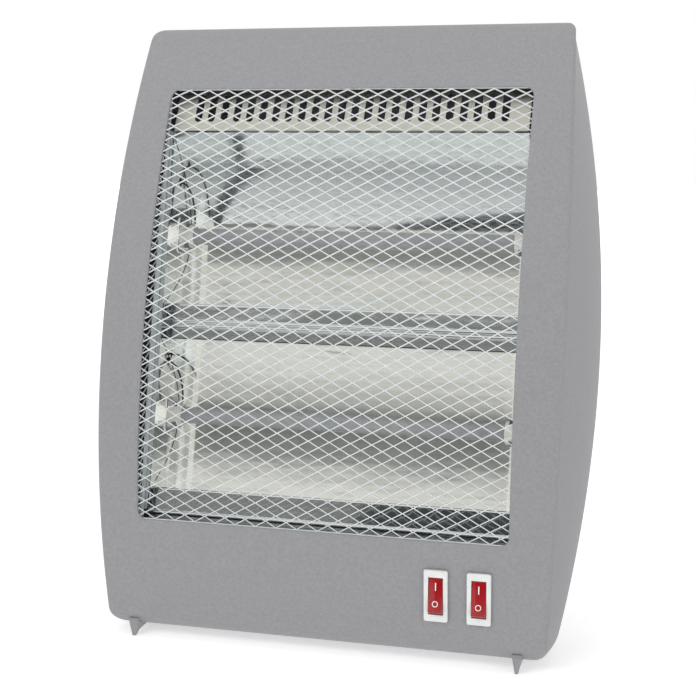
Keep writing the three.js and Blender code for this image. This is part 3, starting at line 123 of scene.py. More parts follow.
# What the modifiers of a piece do becomes its mesh
def applyModifiers(piece, smoothAngle):
    graph = bpy.context.evaluated_depsgraph_get()
    result = bpy.data.meshes.new_from_object(piece.evaluated_get(graph))
    result.name = piece.name
    piece.modifiers.clear()
    piece.data = result
    finishMesh(result, smoothAngle)


def carve(piece, tools, operation="DIFFERENCE"):
    for tool in tools:
        modifier = piece.modifiers.new("cut", "BOOLEAN")
        modifier.object = tool
        modifier.operation = operation
        modifier.solver = "MANIFOLD"
    applyModifiers(piece, 35.0)
    for tool in tools:
        bpy.data.objects.remove(tool)


# Faces left by a cutter carry its material, so the whole piece is given its own again
def dressWhole(piece, material):
    piece.data.materials.clear()
    piece.data.materials.append(material)


def bevel(piece, width, segments, angle=30.0):
    modifier = piece.modifiers.new("edges", "BEVEL")
    modifier.width = width * mm
    modifier.segments = segments
    modifier.limit_method = "ANGLE"
    modifier.angle_limit = math.radians(angle)
    applyModifiers(piece, 50.0)


# An sRGB hex code as the linear values that shaders take
def linearColour(code):
    channels = [int(code[i : i + 2], 16) / 255 for i in (1, 3, 5)]
    linear = [c / 12.92 if c <= 0.04045 else ((c + 0.055) / 1.055) ** 2.4 for c in channels]
    return (*linear, 1.0)


def addNode(tree, kind, inputs=None, **settings):
    node = tree.nodes.new("ShaderNode" + kind)
    for key, value in settings.items():
        setattr(node, key, value)
    for key, value in (inputs or {}).items():
        socket = node.inputs[key]
        if isinstance(value, bpy.types.NodeSocket):
            tree.links.new(value, socket)
        else:
            socket.default_value = value
    return node


def nodeOf(material, kind):
    return next(node for node in material.node_tree.nodes if node.type == kind)


def newMaterial(name):
    material = bpy.data.materials.new(name)
    material.use_nodes = True
    tree = material.node_tree
    tree.nodes.clear()
    shader = addNode(tree, "BsdfPrincipled")
    addNode(tree, "OutputMaterial", {"Surface": shader.outputs[0]})
    return material, tree, shader


# Object coordinates in units of a pattern size given in mm
def patternSpace(tree, sizes):
    place = addNode(tree, "TexCoord")
    scale = tuple(1000.0 / size for size in sizes)
    mapping = addNode(tree, "Mapping", {"Vector": place.outputs["Object"], "Scale": scale})
    return mapping.outputs[0]


def noise(tree, sizes, detail=2.0, roughness=0.5):
    vector = patternSpace(tree, sizes)
    inputs = {"Vector": vector, "Scale": 1.0, "Detail": detail, "Roughness": roughness}
    return addNode(tree, "TexNoise", inputs)


def rangeOf(tree, value, low, high, fromLow=0.3, fromHigh=0.7):
    inputs = {
        "Value": value,
        "From Min": fromLow,
        "From Max": fromHigh,
        "To Min": low,
        "To Max": high,
    }
    return addNode(tree, "MapRange", inputs).outputs[0]


def mixColours(tree, factor, first, second):
    node = addNode(tree, "Mix", data_type="RGBA")
    sockets = [s for s in node.inputs if s.type == "RGBA"]
    tree.links.new(factor, node.inputs[0])
    for socket, value in zip(sockets, (first, second)):
        socket.default_value = value
    return [s for s in node.outputs if s.type == "RGBA"][0]


def bumpFrom(tree, height, distance):
    inputs = {"Height": height, "Distance": distance * mm, "Strength": 1.0}
    return addNode(tree, "Bump", inputs).outputs[0]


roughSpread = 0.04


# Colour and gloss wander a little from patch to patch, and a finer grain lifts the surface. Sizes
# are in millimetres.
def plainMaterial(name, values):
    material, tree, shader = newMaterial(name)
    patch = noise(tree, [values["patch"]] * 3, 3.0).outputs[0]
    colours = [linearColour(values[key]) for key in ("low", "high")]
    colour = mixColours(tree, rangeOf(tree, patch, 0, 1), *colours)
    tree.links.new(colour, shader.inputs["Base Color"])
    grain = noise(tree, [values["grain"]] * 3, 2.0)
    rough = rangeOf(tree, patch, values["rough"] - roughSpread, values["rough"] + roughSpread)
    tree.links.new(rough, shader.inputs["Roughness"])
    shader.inputs["Metallic"].default_value = values.get("metal", 0.0)
    normal = bumpFrom(tree, grain.outputs[0], values["relief"])
    tree.links.new(normal, shader.inputs["Normal"])
    return material


# The spark-eroded mould leaves an even, matt grey. The real grain is too fine to show, so it is
# drawn 0.5 mm wide, on patches of 1.8 mm.
greyAbs = plainMaterial(
    "grey ABS, moulded with a fine spark grain",
    dict(low="#8c8c8f", high="#969699", patch=1.8, grain=0.5, rough=0.5, relief=0.035),
)
# Smooth from the mould: a clean white with a soft sheen on its edges
whiteNylon = plainMaterial(
    "white nylon, moulded",
    dict(low="#dcdfdc", high="#e6e8e5", patch=6.0, grain=0.5, rough=0.3, relief=0.004),
)
# A satin black that hides in the shade of the slots
blackNylon = plainMaterial(
    "black nylon, moulded",
    dict(low="#18181a", high="#202022", patch=4.0, grain=0.4, rough=0.45, relief=0.01),
)
# The coat flows before it sets, so the strands look soft, off-white and a little glossy
meshWhite = plainMaterial(
    "expanded steel, white powder coat",
    dict(low="#ced3d5", high="#dee2e3", patch=5.0, grain=0.3, rough=0.3, relief=0.008),
)
# Pressed ceramic stays chalky and dull
steatite = plainMaterial(
    "steatite, pressed and unglazed",
    dict(low="#e6e4dc", high="#f3f1ea", patch=2.0, grain=0.2, rough=0.7, relief=0.01),
)
# Rolled strip mirrors what is near it, blurred
springSteel = plainMaterial(
    "spring steel strip, bright",
    dict(low="#bfc3c6", high="#d2d5d7", patch=3.0, grain=0.6, rough=0.22, relief=0.004, metal=1.0),
)
# The zinc's crystals make lighter and darker patches in a satin grey
galvanised = plainMaterial(
    "galvanised sheet, stamped",
    dict(low="#a9aeb1", high="#c2c6c8", patch=5.0, grain=0.8, rough=0.38, relief=0.004, metal=1.0),
)
# Plated heads look like small, dull, dark mirrors
screwSteel = plainMaterial(
    "zinc plated steel, cold headed",
    dict(low="#8b9093", high="#a4a8aa", patch=1.5, grain=0.3, rough=0.35, relief=0.004, metal=1.0),
)
# A warm yellow glint on the terminals
brass = plainMaterial(
    "brass strip, stamped",
    dict(low="#bf9c49", high="#d2b160", patch=2.0, grain=0.3, rough=0.3, relief=0.004, metal=1.0),
)
# The oxide skin is brown-black and dull, which keeps the coil dark in its tube
heatingWire = plainMaterial(
    "heating wire, oxidised",
    dict(low="#4c4744", high="#67605b", patch=1.0, grain=0.1, rough=0.5, relief=0.004, metal=0.8),
)
# The braid is finer than the render shows, so it is drawn 0.5 mm wide, as a rough pale skin
glassSleeve = plainMaterial(
    "glass fibre sleeve, braided and varnished",
    dict(low="#cfcabb", high="#e6e2d6", patch=0.5, grain=0.25, rough=0.65, relief=0.05),
)
# The left leads are drawn nearly black, with a faint metal sheen
darkLead = plainMaterial(
    "lead wire, nearly black",
    dict(low="#2b2b2d", high="#434345", patch=3.0, grain=0.3, rough=0.45, relief=0.004, metal=0.4),
)
# A thin, plain white film, slightly satin
whiteInk = plainMaterial(
    "white ink, pad printed",
    dict(low="#eeeeee", high="#fafafa", patch=1.0, grain=0.15, rough=0.45, relief=0.004),
)


# Rolling leaves streaks along x, and the thin sheet never lies quite flat
def makeMirrorAluminium(name, values):
    material, tree, shader = newMaterial(name)
    roll = noise(tree, values["streak"], 3.0, 0.6)
    colours = [linearColour(values[key]) for key in ("low", "high")]
    colour = mixColours(tree, rangeOf(tree, roll.outputs[0], 0, 1), *colours)
    tree.links.new(colour, shader.inputs["Base Color"])
    rough = rangeOf(tree, roll.outputs[0], *values["rough"])
    tree.links.new(rough, shader.inputs["Roughness"])
    shader.inputs["Metallic"].default_value = 1.0
    wave = noise(tree, values["wave"], 2.0, 0.5)
    normal = bumpFrom(tree, wave.outputs[0], values["waveRelief"])
    tree.links.new(normal, shader.inputs["Normal"])
    return material


# Almost a mirror: the room and the lamps stand in it as stretched, slightly wavy bands
mirrorAluminium = makeMirrorAluminium(
    "aluminium sheet, bright rolled",
    {
        "streak": [60, 3, 3],
        "low": "#dfe3e2",
        "high": "#eef1ef",
        "rough": [0.07, 0.14],
        "wave": [34, 16, 16],
        "waveRelief": 0.35,
    },
)
# The matt side scatters what it reflects into an even, warm grey
ventAluminium = makeMirrorAluminium(
    "aluminium sheet, matt side",
    {
        "streak": [30, 3, 3],
        "low": "#d6d3c7",
        "high": "#e4e1d5",
        "rough": [0.42, 0.52],
        "wave": [50, 20, 20],
        "waveRelief": 0.1,
    },
)


# Painted glow round a tube, standing in for the light the troughs focus on it, by the angle in
# degrees: 0 is its front, 90 its top, -90 its underside
quartzLook = {
    "clear": 0.38,
    # seen is a painted glow that every ray sees, the camera's too
    "seen": 0.04,
    "upper": {-180: 0.06, -152: 0.06, -132: 0.6, 90: 0.6, 180: 0.06},
    "lower": {
        -180: 0.05,
        -100: 0.12,
        -80: 0.42,
        -50: 0.62,
        80: 0.54,
        100: 0.46,
        130: 0.34,
        150: 0.08,
        180: 0.05,
    },
}


# Painted light: the troughs focus light on what is in front of them, and an emission stands in
# for it. Only the mirrors see the painted glow, and every ray sees the added level seen.
def paintGlowForMirrors(material, paintedGlowLevel, seen=0.0):
    tree = material.node_tree
    shader = nodeOf(material, "BSDF_PRINCIPLED")
    rays = addNode(tree, "LightPath")
    shader.inputs["Emission Color"].default_value = linearColour("#fffaf0")
    inputs = {0: paintedGlowLevel, 1: rays.outputs["Is Glossy Ray"], 2: seen}
    strength = addNode(tree, "Math", inputs, operation="MULTIPLY_ADD")
    tree.links.new(strength.outputs[0], shader.inputs["Emission Strength"])
    return shader


# Steatite and spring steel get a painted glow that only the mirrors see
paintGlowForMirrors(steatite, 0.5)
paintGlowForMirrors(springSteel, 0.4)


# Part of the light goes straight through the milky wall, and the rest is scattered by it. A
# painted glow, for the light the troughs focus on the tube, is kept as a point attribute by the
# angle round the tube.
def makeQuartz():
    material = plainMaterial(
        "quartz glass, milky drawn tube",
        dict(low="#a3a7a9", high="#b0b3b5", patch=8.0, grain=0.8, rough=0.28, relief=0.006),
    )
    tree = material.node_tree
    glow = addNode(tree, "Attribute", attribute_name="paintedGlowLevel")
    shader = paintGlowForMirrors(material, glow.outputs["Fac"], quartzLook["seen"])
    straight = addNode(tree, "BsdfTransparent")
    inputs = {0: quartzLook["clear"], 1: shader.outputs[0], 2: straight.outputs[0]}
    mix = addNode(tree, "MixShader", inputs)
    tree.links.new(mix.outputs[0], nodeOf(material, "OUTPUT_MATERIAL").inputs["Surface"])
    return material


quartz = makeQuartz()


# Light goes a little way into the red plastic and comes back warm, under a polished skin
def makeRedLens():
    material = plainMaterial(
        "red polycarbonate, translucent and polished",
        dict(low="#9c0f16", high="#ab151c", patch=5.0, grain=0.6, rough=0.16, relief=0.002),
    )
    shader = nodeOf(material, "BSDF_PRINCIPLED")
    shader.inputs["Subsurface Weight"].default_value = 0.35
    shader.inputs["Subsurface Radius"].default_value = (0.004, 0.0006, 0.0006)
    shader.inputs["Coat Weight"].default_value = 0.4
    shader.inputs["Coat Roughness"].default_value = 0.08
    return material


redLens = makeRedLens()
print("materials made")

# The shape is that of the part: a parabolic bow for the face, flared sides, and a back that
# leans. The formulas are written out again, with closer steps.
housing = {
    "height": 369.99,
    "base": 5.5,
    "nose": 65.7,
    "bow": 513.0,
    "faceHalf": 139.2,
    "faceWidest": 185.0,
    "faceSideRadius": 3163.0,
    "rimHalf": 153.62,
    "rimWidest": 172.0,
    "rimSideRadius": 800.0,
    "rimMiddle": 68.0,
    "rimEnds": 22.0,
    "depth": 125.0,
    "baseDepth": 76.0,
    "backCorner": 27.0,
    "wall": 2.5,
    "partingGap": 0.3,
    "topFillet": 8.0,
    "bottomFillet": 11.0,
    "backFillet": 9.0,
    "topCorner": 5.0,
    "bottomCorner": 10.5,
    "sideFillet": 3.0,
    "leastRound": 0.5,
    "leastRear": 1.5,
    "edgeZone": 13.0,
    "levels": 110,
    "cutPast": 12.0,
}
window = {
    "half": 112.5,
    "bottom": 75.3,
    "top": 331.79,
    "corner": 5.5,
    "edgeRound": 0.9,
    "lip": 1.1,
    "rebate": 2.2,
    "cutDepth": 9.0,
}


# In side view the face is a parabola: its depth is the square of the height from its nose, over
# twice the bow. Its side edges and the rim are parabolas about their widest heights.
def faceY(z):
    return (z - housing["nose"]) ** 2 / (2 * housing["bow"])


def faceSlope(z):
    return (z - housing["nose"]) / housing["bow"]


def faceHalf(z):
    return housing["faceHalf"] - (z - housing["faceWidest"]) ** 2 / (2 * housing["faceSideRadius"])


def rimHalf(z):
    return housing["rimHalf"] - (z - housing["rimWidest"]) ** 2 / (2 * housing["rimSideRadius"])


# The parting line lies behind the face, farthest halfway up, and nears it as a parabola does
def rimY(z):
    share = 2 * z / housing["height"] - 1
    return faceY(z) + housing["rimEnds"] + (housing["rimMiddle"] - housing["rimEnds"]) * (1 - share**2)


# The back is a parabola that leaves its full depth at the top and comes forwards to the base
def backY(z):
    rise = (housing["height"] - z) / (housing["height"] - housing["base"])
    return housing["depth"] - (housing["depth"] - housing["baseDepth"]) * rise**2


# How far a round top or bottom edge draws a surface in: the radius less half the
# chord of its circle
def rounding(z, inset, topRadius, bottomRadius):
    top = housing["height"] - inset
    bottom = housing["base"] + inset
    high = max(topRadius - inset, housing["leastRound"])
    low = max(bottomRadius - inset, housing["leastRound"])
    above = max(z - (top - high), 0.0)
    below = max(bottom + low - z, 0.0)
    drawn = 0.0
    for radius, run in ((high, above), (low, below)):
        drawn += radius - math.sqrt(max(radius * radius - run * run, 0.0))
    return drawn


# Front, back, half widths and parting line of the closed form at one level, inside a wall
def sectionValues(z, inset):
    front = faceY(z) + inset * math.hypot(1, faceSlope(z))
    front += rounding(z, inset, housing["topFillet"], housing["bottomFillet"])
    back = backY(z) - inset - rounding(z, inset, housing["backFillet"], housing["backFillet"])
    corner = rounding(z, inset, housing["topCorner"], housing["bottomCorner"])
    edge = faceHalf(z) - inset - corner
    rim = rimHalf(z) - inset - corner
    parting = min(rimY(z), back - housing["leastRear"])
    return front, back, edge, rim, parting


# The flared side: depth grows evenly with the share, and width by a quarter of a sine
def sideLine(values, shares):
    front, _, edge, rim, parting = values
    width = edge + (rim - edge) * np.sin(shares * math.pi / 2)
    return np.stack([width, front + (parting - front) * shares], 1)


# Right half of the front shell's outline at one level: across the face, round the ridge by a
# quadratic curve, and along the flared side to the parting line
def frontHalf(z, inset, past=0.0):
    values = sectionValues(z, inset)
    front, _, edge, rim, parting = values
    fillet = housing["sideFillet"]
    flat = np.linspace(0, edge - fillet, 14)[:, None] * toArray([1, 0]) + toArray([0, front])
    share = fillet / (parting - front)
    end = sideLine(values, toArray([share]))[0]
    t = np.linspace(0, 1, 9)[1:, None]
    start = toArray([edge - fillet, front])
    middle = toArray([edge, front])
    ridge = (1 - t) ** 2 * start + 2 * t * (1 - t) * middle + t**2 * end
    side = sideLine(values, np.linspace(share, 1, 15)[1:])
    line = np.concatenate([flat, ridge, side])
    if past:
        line = np.concatenate([line, [[rim, parting + past]]])
    return line


# Right half of the rear cover's outline: a quarter of an ellipse from the parting line to the
# flat back, and straight to the middle
def rearHalf(z, inset, before=0.0):
    back, rim, parting = [sectionValues(z, inset)[k] for k in (1, 3, 4)]
    parting += housing["partingGap"]
    flat = rim - housing["backCorner"]
    turn = np.radians(np.linspace(0, 90, 17))
    corner = np.stack([flat + (rim - flat) * np.cos(turn), parting + (back - parting) * np.sin(turn)], 1)
    if before:
        corner = np.concatenate([[[rim, parting - before]], corner])
    across = np.stack([np.linspace(flat, 0, 10)[1:], np.full(9, back)], 1)
    return np.concatenate([corner, across])[::-1]


# Both halves of an outline whose first point is in the middle
def mirroredRing(half, z):
    left = half[::-1] * toArray([-1, 1])
    ring = np.concatenate([left[:-1], half])
    return np.column_stack([ring[:, 0], ring[:, 1] + depthShift, np.full(len(ring), z)])


# Heights of the rings: spaced by a cosine in the round edges, and evenly between them
def levelList(inset):
    bottom = housing["base"] + inset
    top = housing["height"] - inset
    turn = np.radians(np.linspace(0, 90, 13))
    edge = housing["edgeZone"]
    low = bottom + edge * (1 - np.cos(turn))
    high = top - edge * (1 - np.cos(turn[::-1]))
    middle = np.linspace(low[-1], high[0], housing["levels"])[1:-1]
    return np.concatenate([low, middle, high])


def shellLoft(name, halfLine, inset, past):
    rings = [mirroredRing(halfLine(z, inset, past), z) for z in levelList(inset)]
    return loftObject(name, rings, greyAbs)


longSide = 40.0
longSteps = 41


# A rectangle with round corners, in order round it, grown outwards. Long sides are divided, so
# that what follows the bow can bend there.
def roundedRing(half, low, high, corner, grow, steps=8):
    turn = np.radians(np.linspace(0, 90, steps + 1))
    right, under, over = half - corner, low + corner, high - corner
    arcs = []
    for quarter, middle in enumerate(((right, under), (right, over), (-right, over), (-right, under))):
        angle = turn + (quarter - 1) * math.pi / 2
        arcs.append(toArray(middle) + (corner + grow) * np.stack([np.cos(angle), np.sin(angle)], 1))
    points = np.concatenate(arcs)
    dense = []
    for first, second in zip(points, np.roll(points, -1, axis=0)):
        parts = longSteps if np.linalg.norm(second - first) > longSide else 1
        dense.append(np.linspace(first, second, parts, endpoint=False))
    return np.concatenate(dense)


# The ends of the cutter follow the bow too, so they are closed by strips from side to side
def crossStrips(ring, first):
    count = len(ring)
    start = min(range(count), key=lambda k: (round(ring[k][2], 4), ring[k][0] < 0, ring[k][0]))
    order = [(start + k) % count for k in range(count)]
    pairs = list(zip(order[: count // 2], order[::-1][: count // 2]))
    faces = []
    for (a, b), (c, d) in zip(pairs, pairs[1:]):
        faces.append((first + a, first + b, first + d, first + c))
    return faces


# The rounded rectangle carried in through the wall: a quarter round at the front edge, then a
# straight lip, then a wider rebate where the guard lies
def windowCutter():
    radius = window["edgeRound"]
    # the cutter starts ahead of the face, a little wider than the round
    steps = [(-4.0, radius + 0.4), (-0.05, radius + 0.05)]
    for depth in radius * (1 - np.cos(np.linspace(0, math.pi / 2, 7)[1:])):
        steps.append((depth, radius - math.sqrt(max(radius**2 - (radius - depth) ** 2, 0))))
    lip, rebate = window["lip"], window["rebate"]
    steps += [(lip, 0.0), (lip + 0.001, rebate), (window["cutDepth"], rebate)]
    rings = []
    for depth, grow in steps:
        line = roundedRing(window["half"], window["bottom"], window["top"], window["corner"], grow)
        y = faceY(line[:, 1]) + depth * np.hypot(1, faceSlope(line[:, 1])) + depthShift
        rings.append(np.column_stack([line[:, 0], y, line[:, 1]]))
    count = len(rings[0])
    faces = ringFaces(len(rings), count)
    for index in (0, len(rings) - 1):
        faces += crossStrips(rings[index], index * count)
    return makeObject("windowCutter", toArray(rings).reshape(-1, 3), faces, greyAbs)


def boxObject(name, low, high, material=None):
    x0, y0, z0 = low
    x1, y1, z1 = high
    lower = [[x0, y0, z0], [x1, y0, z0], [x1, y1, z0], [x0, y1, z0]]
    upper = [[x, y, z1] for x, y, _ in lower]
    return loftObject(name, [lower, upper], material or greyAbs, 0)


switches = {
    "height": 43.6,
    "middle": 83.8,
    "pitch": 25.0,
    "bezel": [14.0, 31.0],
    "proud": 1.8,
    "body": [12.4, 27.4, 13.0],
    "window": [8.8, 22.6],
    "corner": 1.2,
    "floor": 1.5,
    "bladeSlot": [5.4, 1.4],
    "bladeHeights": [-4.5, 4.5],
    "pivotDepth": 3.5,
    "rockerHalf": 9.9,
    "rockerWidth": 8.2,
    "rockerFace": 4.5,
    "rockerDip": 0.8,
    "pin": 1.5,
    "throw": 21.6,
    "bodyEdge": 0.25,
    "rockerEdge": 0.45,
    "holeReach": 9.0,
}


# A switch stands square to the bowed face at its own height
def switchMatrix(side):
    z = switches["height"]
    x = switches["middle"] + side * switches["pitch"] / 2
    turn = Matrix.Rotation(-math.atan(faceSlope(z)), 4, "X")
    return Matrix.Translation(Vector((x, faceY(z) + depthShift, z)) * mm) @ turn


def makeFrontHousing():
    outer = shellLoft("housing_front", frontHalf, 0, 0)
    inner = shellLoft("housing_inner", frontHalf, housing["wall"], housing["cutPast"])
    tools = [inner, windowCutter()]
    for side in (-1, 1):
        width, height = [size / 2 + clearance for size in switches["body"][:2]]
        reach = switches["holeReach"]
        hole = boxObject("hole", (-width, -reach, -height), (width, reach, height))
        hole.matrix_world = switchMatrix(side)
        tools.append(hole)
    bpy.context.view_layer.update()
    carve(outer, tools)
    settle(outer, "heater", "grey_abs", "front_housing")


makeFrontHousing()
print("front housing made")

cover = {
    "slotLength": 86.0,
    "slotHeight": 4.0,
    "slotPitch": 9.0,
    "slotRows": 4,
    "slotBases": [62.0, 262.0],
    "slotMiddles": [-49.0, 49.0],
    "gripWidth": 104.0,
    "gripHeight": 26.0,
    "gripBase": 322.0,
    "gripDepth": 22.0,
    "gripCorner": 7.0,
    "gripWall": 2.0,
    "gripDraw": [1.5, 2.0],
    "gripFloor": [[0.12, 0.4], [0.5, 3.0], [0.8, 7.0], [1, 11.0]],
    "screwInset": 7.5,
    "screwHeights": [46.0, 318.0],
    "wellRadius": 6.0,
    "wellBore": 3.8,
    "wellFloor": 3.0,
    "inletHeight": 34.0,
    "inletMiddle": 96.0,
    "inletHole": 6.5,
    "plungerDepth": 48.0,
    "plungerHole": 3.9,
    "plungerCut": 12.0,
    "inletCut": 9.0,
    "wellStart": 20.0,
    "wellPast": 8.0,
    "edge": 0.35,
}


# Rod from one point to another, in millimetres
def rodObject(name, start, end, radius, sides=40):
    start, end = toArray(start), toArray(end)
    along = (end - start) / np.linalg.norm(end - start)
    across = np.cross(along, [1, 0, 0] if abs(along[0]) < 0.7 else [0, 0, 1])
    across /= np.linalg.norm(across)
    other = np.cross(along, across)
    circle = circlePoints(radius, sides) @ np.stack([across, other])
    return loftObject(name, [start + circle, end + circle], greyAbs)


# Round-ended slots as one cutter: place(across, up, depth) gives the points of each outline
def slotCutter(name, places, length, width, depths, lengthwise):
    vertices, faces = [], []
    radius = width / 2
    reach = length / 2 - radius
    arc = 9
    turn = np.radians(np.concatenate([np.linspace(-90, 90, arc), np.linspace(90, 270, arc)]))
    along = np.repeat([reach, -reach], arc) + radius * np.cos(turn)
    aside = radius * np.sin(turn)
    across, up = (along, aside) if lengthwise else (aside, along)
    for place in places:
        first = len(vertices)
        for depth in depths:
            vertices += place(across, up, depth).tolist()
        faces += ringFaces(2, 2 * arc, start=first)
        faces += [tuple(first + k for k in face) for face in capFaces(2, 2 * arc)]
    return makeObject(name, vertices, faces, greyAbs)


def coverSlots():
    places = []
    for base in cover["slotBases"]:
        for row in range(cover["slotRows"]):
            for middle in cover["slotMiddles"]:
                z = base + row * cover["slotPitch"] + cover["slotHeight"] / 2

                def place(across, up, depth, middle=middle, z=z):
                    return np.column_stack([middle + across, np.full_like(across, depth), z + up])

                places.append(place)
    depths = (60 + depthShift, 140 + depthShift)
    return slotCutter("slots", places, cover["slotLength"], cover["slotHeight"], depths, True)


# The grip is a scoop with a rounded mouth whose floor slopes up from it. Its cup is the same
# form, grown by a wall and started inside the wall of the cover.
def gripScoop(grow, first):
    rings = []
    half, low = cover["gripWidth"] / 2, cover["gripBase"]
    high = low + cover["gripHeight"]
    mouth = backY(low)
    end = mouth - cover["gripDepth"] - grow
    drawIn, drawCorner = cover["gripDraw"]
    for share, lift in ((first, 0.0), *cover["gripFloor"]):
        y = mouth + (end - mouth) * share + depthShift
        corner = cover["gripCorner"] - drawCorner * max(share, 0)
        outline = roundedRing(half - drawIn * max(share, 0), low + lift, high, corner, grow)
        rings.append(np.column_stack([outline[:, 0], np.full(len(outline), y), outline[:, 1]]))
    return loftObject("scoop", rings, greyAbs)


# The shell is left standing round each screw's well, and bores, slots, grip and holes are cut
def makeRearCover():
    outer = shellLoft("cover_rear", rearHalf, 0, 0)
    inner = shellLoft("cover_inner", rearHalf, housing["wall"], housing["cutPast"])
    wells, bores = [], []
    for side in (-1, 1):
        for z in cover["screwHeights"]:
            x = side * (rimHalf(z) - cover["screwInset"])
            start = rimY(z) + housing["partingGap"] + depthShift
            end = backY(z) + depthShift + cover["wellPast"]
            under = start - cover["wellStart"]
            wells.append(rodObject("well", [x, under, z], [x, end, z], cover["wellRadius"]))
            floor = start + cover["wellFloor"]
            bores.append(rodObject("bore", [x, floor, z], [x, end, z], cover["wellBore"]))
    carve(inner, wells)
    carve(outer, [inner])
    carve(outer, [gripScoop(cover["gripWall"], 0.05)], "UNION")
    z = cover["inletHeight"]
    slope = (backY(z + 1) - backY(z - 1)) / 2
    back = toArray([0, 1, -slope]) / math.hypot(1, slope)
    middle = toArray([cover["inletMiddle"], backY(z) + depthShift, z])
    reach = back * cover["inletCut"]
    inlet = rodObject("inlet", middle - reach, middle + reach, cover["inletHole"])
    y = cover["plungerDepth"] + depthShift
    drop = rodObject("drop", [0, y, 0], [0, y, cover["plungerCut"]], cover["plungerHole"])
    carve(outer, [coverSlots(), gripScoop(0, -0.5), *bores, inlet, drop])
    bevel(outer, cover["edge"], 2, 50.0)
    settle(outer, "heater", "grey_abs", "rear_cover")


makeRearCover()
print("rear cover made")

# The guard is a sheet of expanded steel, drawn with strands as wide as they look in the render
guard = {
    "columns": 18,
    "flapColumns": 2,
    "rows": 76,
    "strand": 0.6,
    "thickness": 0.6,
    "twist": 0.35,
    "rim": 2.5,
    "setBack": 1.5,
    "knotWide": 1.15,
    "knotTall": 0.95,
    "flapGap": 0.4,
}
unit = {
    "lean": math.radians(13.5),
    "depth": 65.0,
    "height": 184.7,
    "lampPitch": 113.5,
    "focal": 13.75,
    "troughHalf": 45.9,
    "hood": 60.2,
    "hoodFront": 28.5,
    "sheet": 0.5,
    "upperFoot": 9.4,
    "lowerTop": 9.0,
    "lowerFoot": 13.2,
    "bead": 1.4,
    "beads": {"upper": 2, "lower": 1},
    "footRun": {"upper": 6.0, "lower": 8.4},
    "groove": [3.0, 0.9],
    "edgeFlat": 0.3,
    "footLap": 0.7,
    "halfWidth": 110.7,
}
flangeDepth = unit["focal"] - unit["troughHalf"] ** 2 / (4 * unit["focal"])
lampHeights = {"upper": unit["lampPitch"] / 2, "lower": -unit["lampPitch"] / 2}


# Depth of the unit's flange, where the folded sides of the guard end
def flangeY(z):
    rise = (z - unit["height"]) * math.tan(unit["lean"])
    seat = flangeDepth - unit["sheet"] - clearance
    return unit["depth"] + rise + seat / math.cos(unit["lean"])


# Places of the reflector unit: x across, n back through its sheet, v up along it
def unitPoints(x, n, v):
    x, n, v = np.broadcast_arrays(x, n, v)
    cosine, sine = math.cos(unit["lean"]), math.sin(unit["lean"])
    y = unit["depth"] + n * cosine + v * sine + depthShift
    z = unit["height"] - n * sine + v * cosine
    return np.stack([x, y, z], -1)


# Arc length along the bow from its nose
def bowLength(z):
    t = faceSlope(z)
    return housing["bow"] / 2 * (t * np.hypot(1, t) + np.arcsinh(t))


# The height at an arc length, by Newton's steps
def heightAtBowLength(length):
    z = housing["nose"] + length
    for _ in range(6):
        z = z - (bowLength(z) - length) / np.hypot(1, faceSlope(z))
    return z


# Places along one edge of the pattern where strands or knots meet its rim
def edgeStops(start, end, share, kept=None):
    line = []
    for k in range(start, end + 1, 2):
        if k > start:
            line.append(k - share)
        if k in (start, end) or abs(k) == kept:
            line.append(k)
        if k < end:
            line.append(k + share)
    return line


# The flat pattern of expanded metal, in half diamonds i across and j up. A knot stands where
# i + j is even, and a strand rises from it on either side. A plain rim frames them all.
def guardPattern(columns, flap, rows, across, up):
    index, relief, faces = {}, [], []

    def vertex(i, j, raised=0.0):
        key = (round(i, 4), round(j, 4))
        if key not in index:
            index[key] = len(index)
            relief.append(raised)
        return index[key]

    for i in range(-flap, flap + 1):
        for j in range(rows + 1):
            if (i + j) % 2:
                continue
            left = vertex(i, j) if i == -flap else vertex(i - across, j)
            right = vertex(i, j) if i == flap else vertex(i + across, j)
            under = vertex(i, j) if j == 0 else vertex(i, j - up, -1)
            over = vertex(i, j) if j == rows else vertex(i, j + up, 1)
            fold = abs(i) == columns
            if j == 0 and not fold:
                faces.append((left, right, over))
            elif j == rows and not fold:
                faces.append((left, under, right))
            else:
                if i > -flap:
                    faces.append((left, under, over))
                if i < flap:
                    faces.append((under, right, over))
            if j == rows:
                continue
            if i < flap:
                below = vertex(i + 1, j + 1 - up, -1)
                faces.append((right, below, vertex(i + 1 - across, j + 1), over))
            if i > -flap:
                below = vertex(i - 1, j + 1 - up, -1)
                faces.append((left, over, vertex(i - 1 + across, j + 1), below))

    line = edgeStops(-flap, flap, across, columns)
    for a, b in zip(line, line[1:]):
        for low in (-1, rows):
            faces.append((vertex(a, low), vertex(b, low), vertex(b, low + 1), vertex(a, low + 1)))
    line = [-1, *edgeStops(0, rows, up), rows + 1]
    for a, b in zip(line, line[1:]):
        for near in (flap, -flap - 1):
            faces.append((vertex(near, a), vertex(near + 1, a), vertex(near + 1, b), vertex(near, b)))
    return toArray(list(index)), toArray(relief), faces


# A closed sheet: an outer skin, an inner skin turned over, and a wall at every open edge
def sheetFaces(faces, count):
    solid, edges = [], {}
    for face in faces:
        solid += [face, tuple(k + count for k in face[::-1])]
        for a, b in zip(face, face[1:] + face[:1]):
            if edges.pop((b, a), None) is None:
                edges[(a, b)] = True
    return solid + [(b, a, a + count, b + count) for a, b in edges]


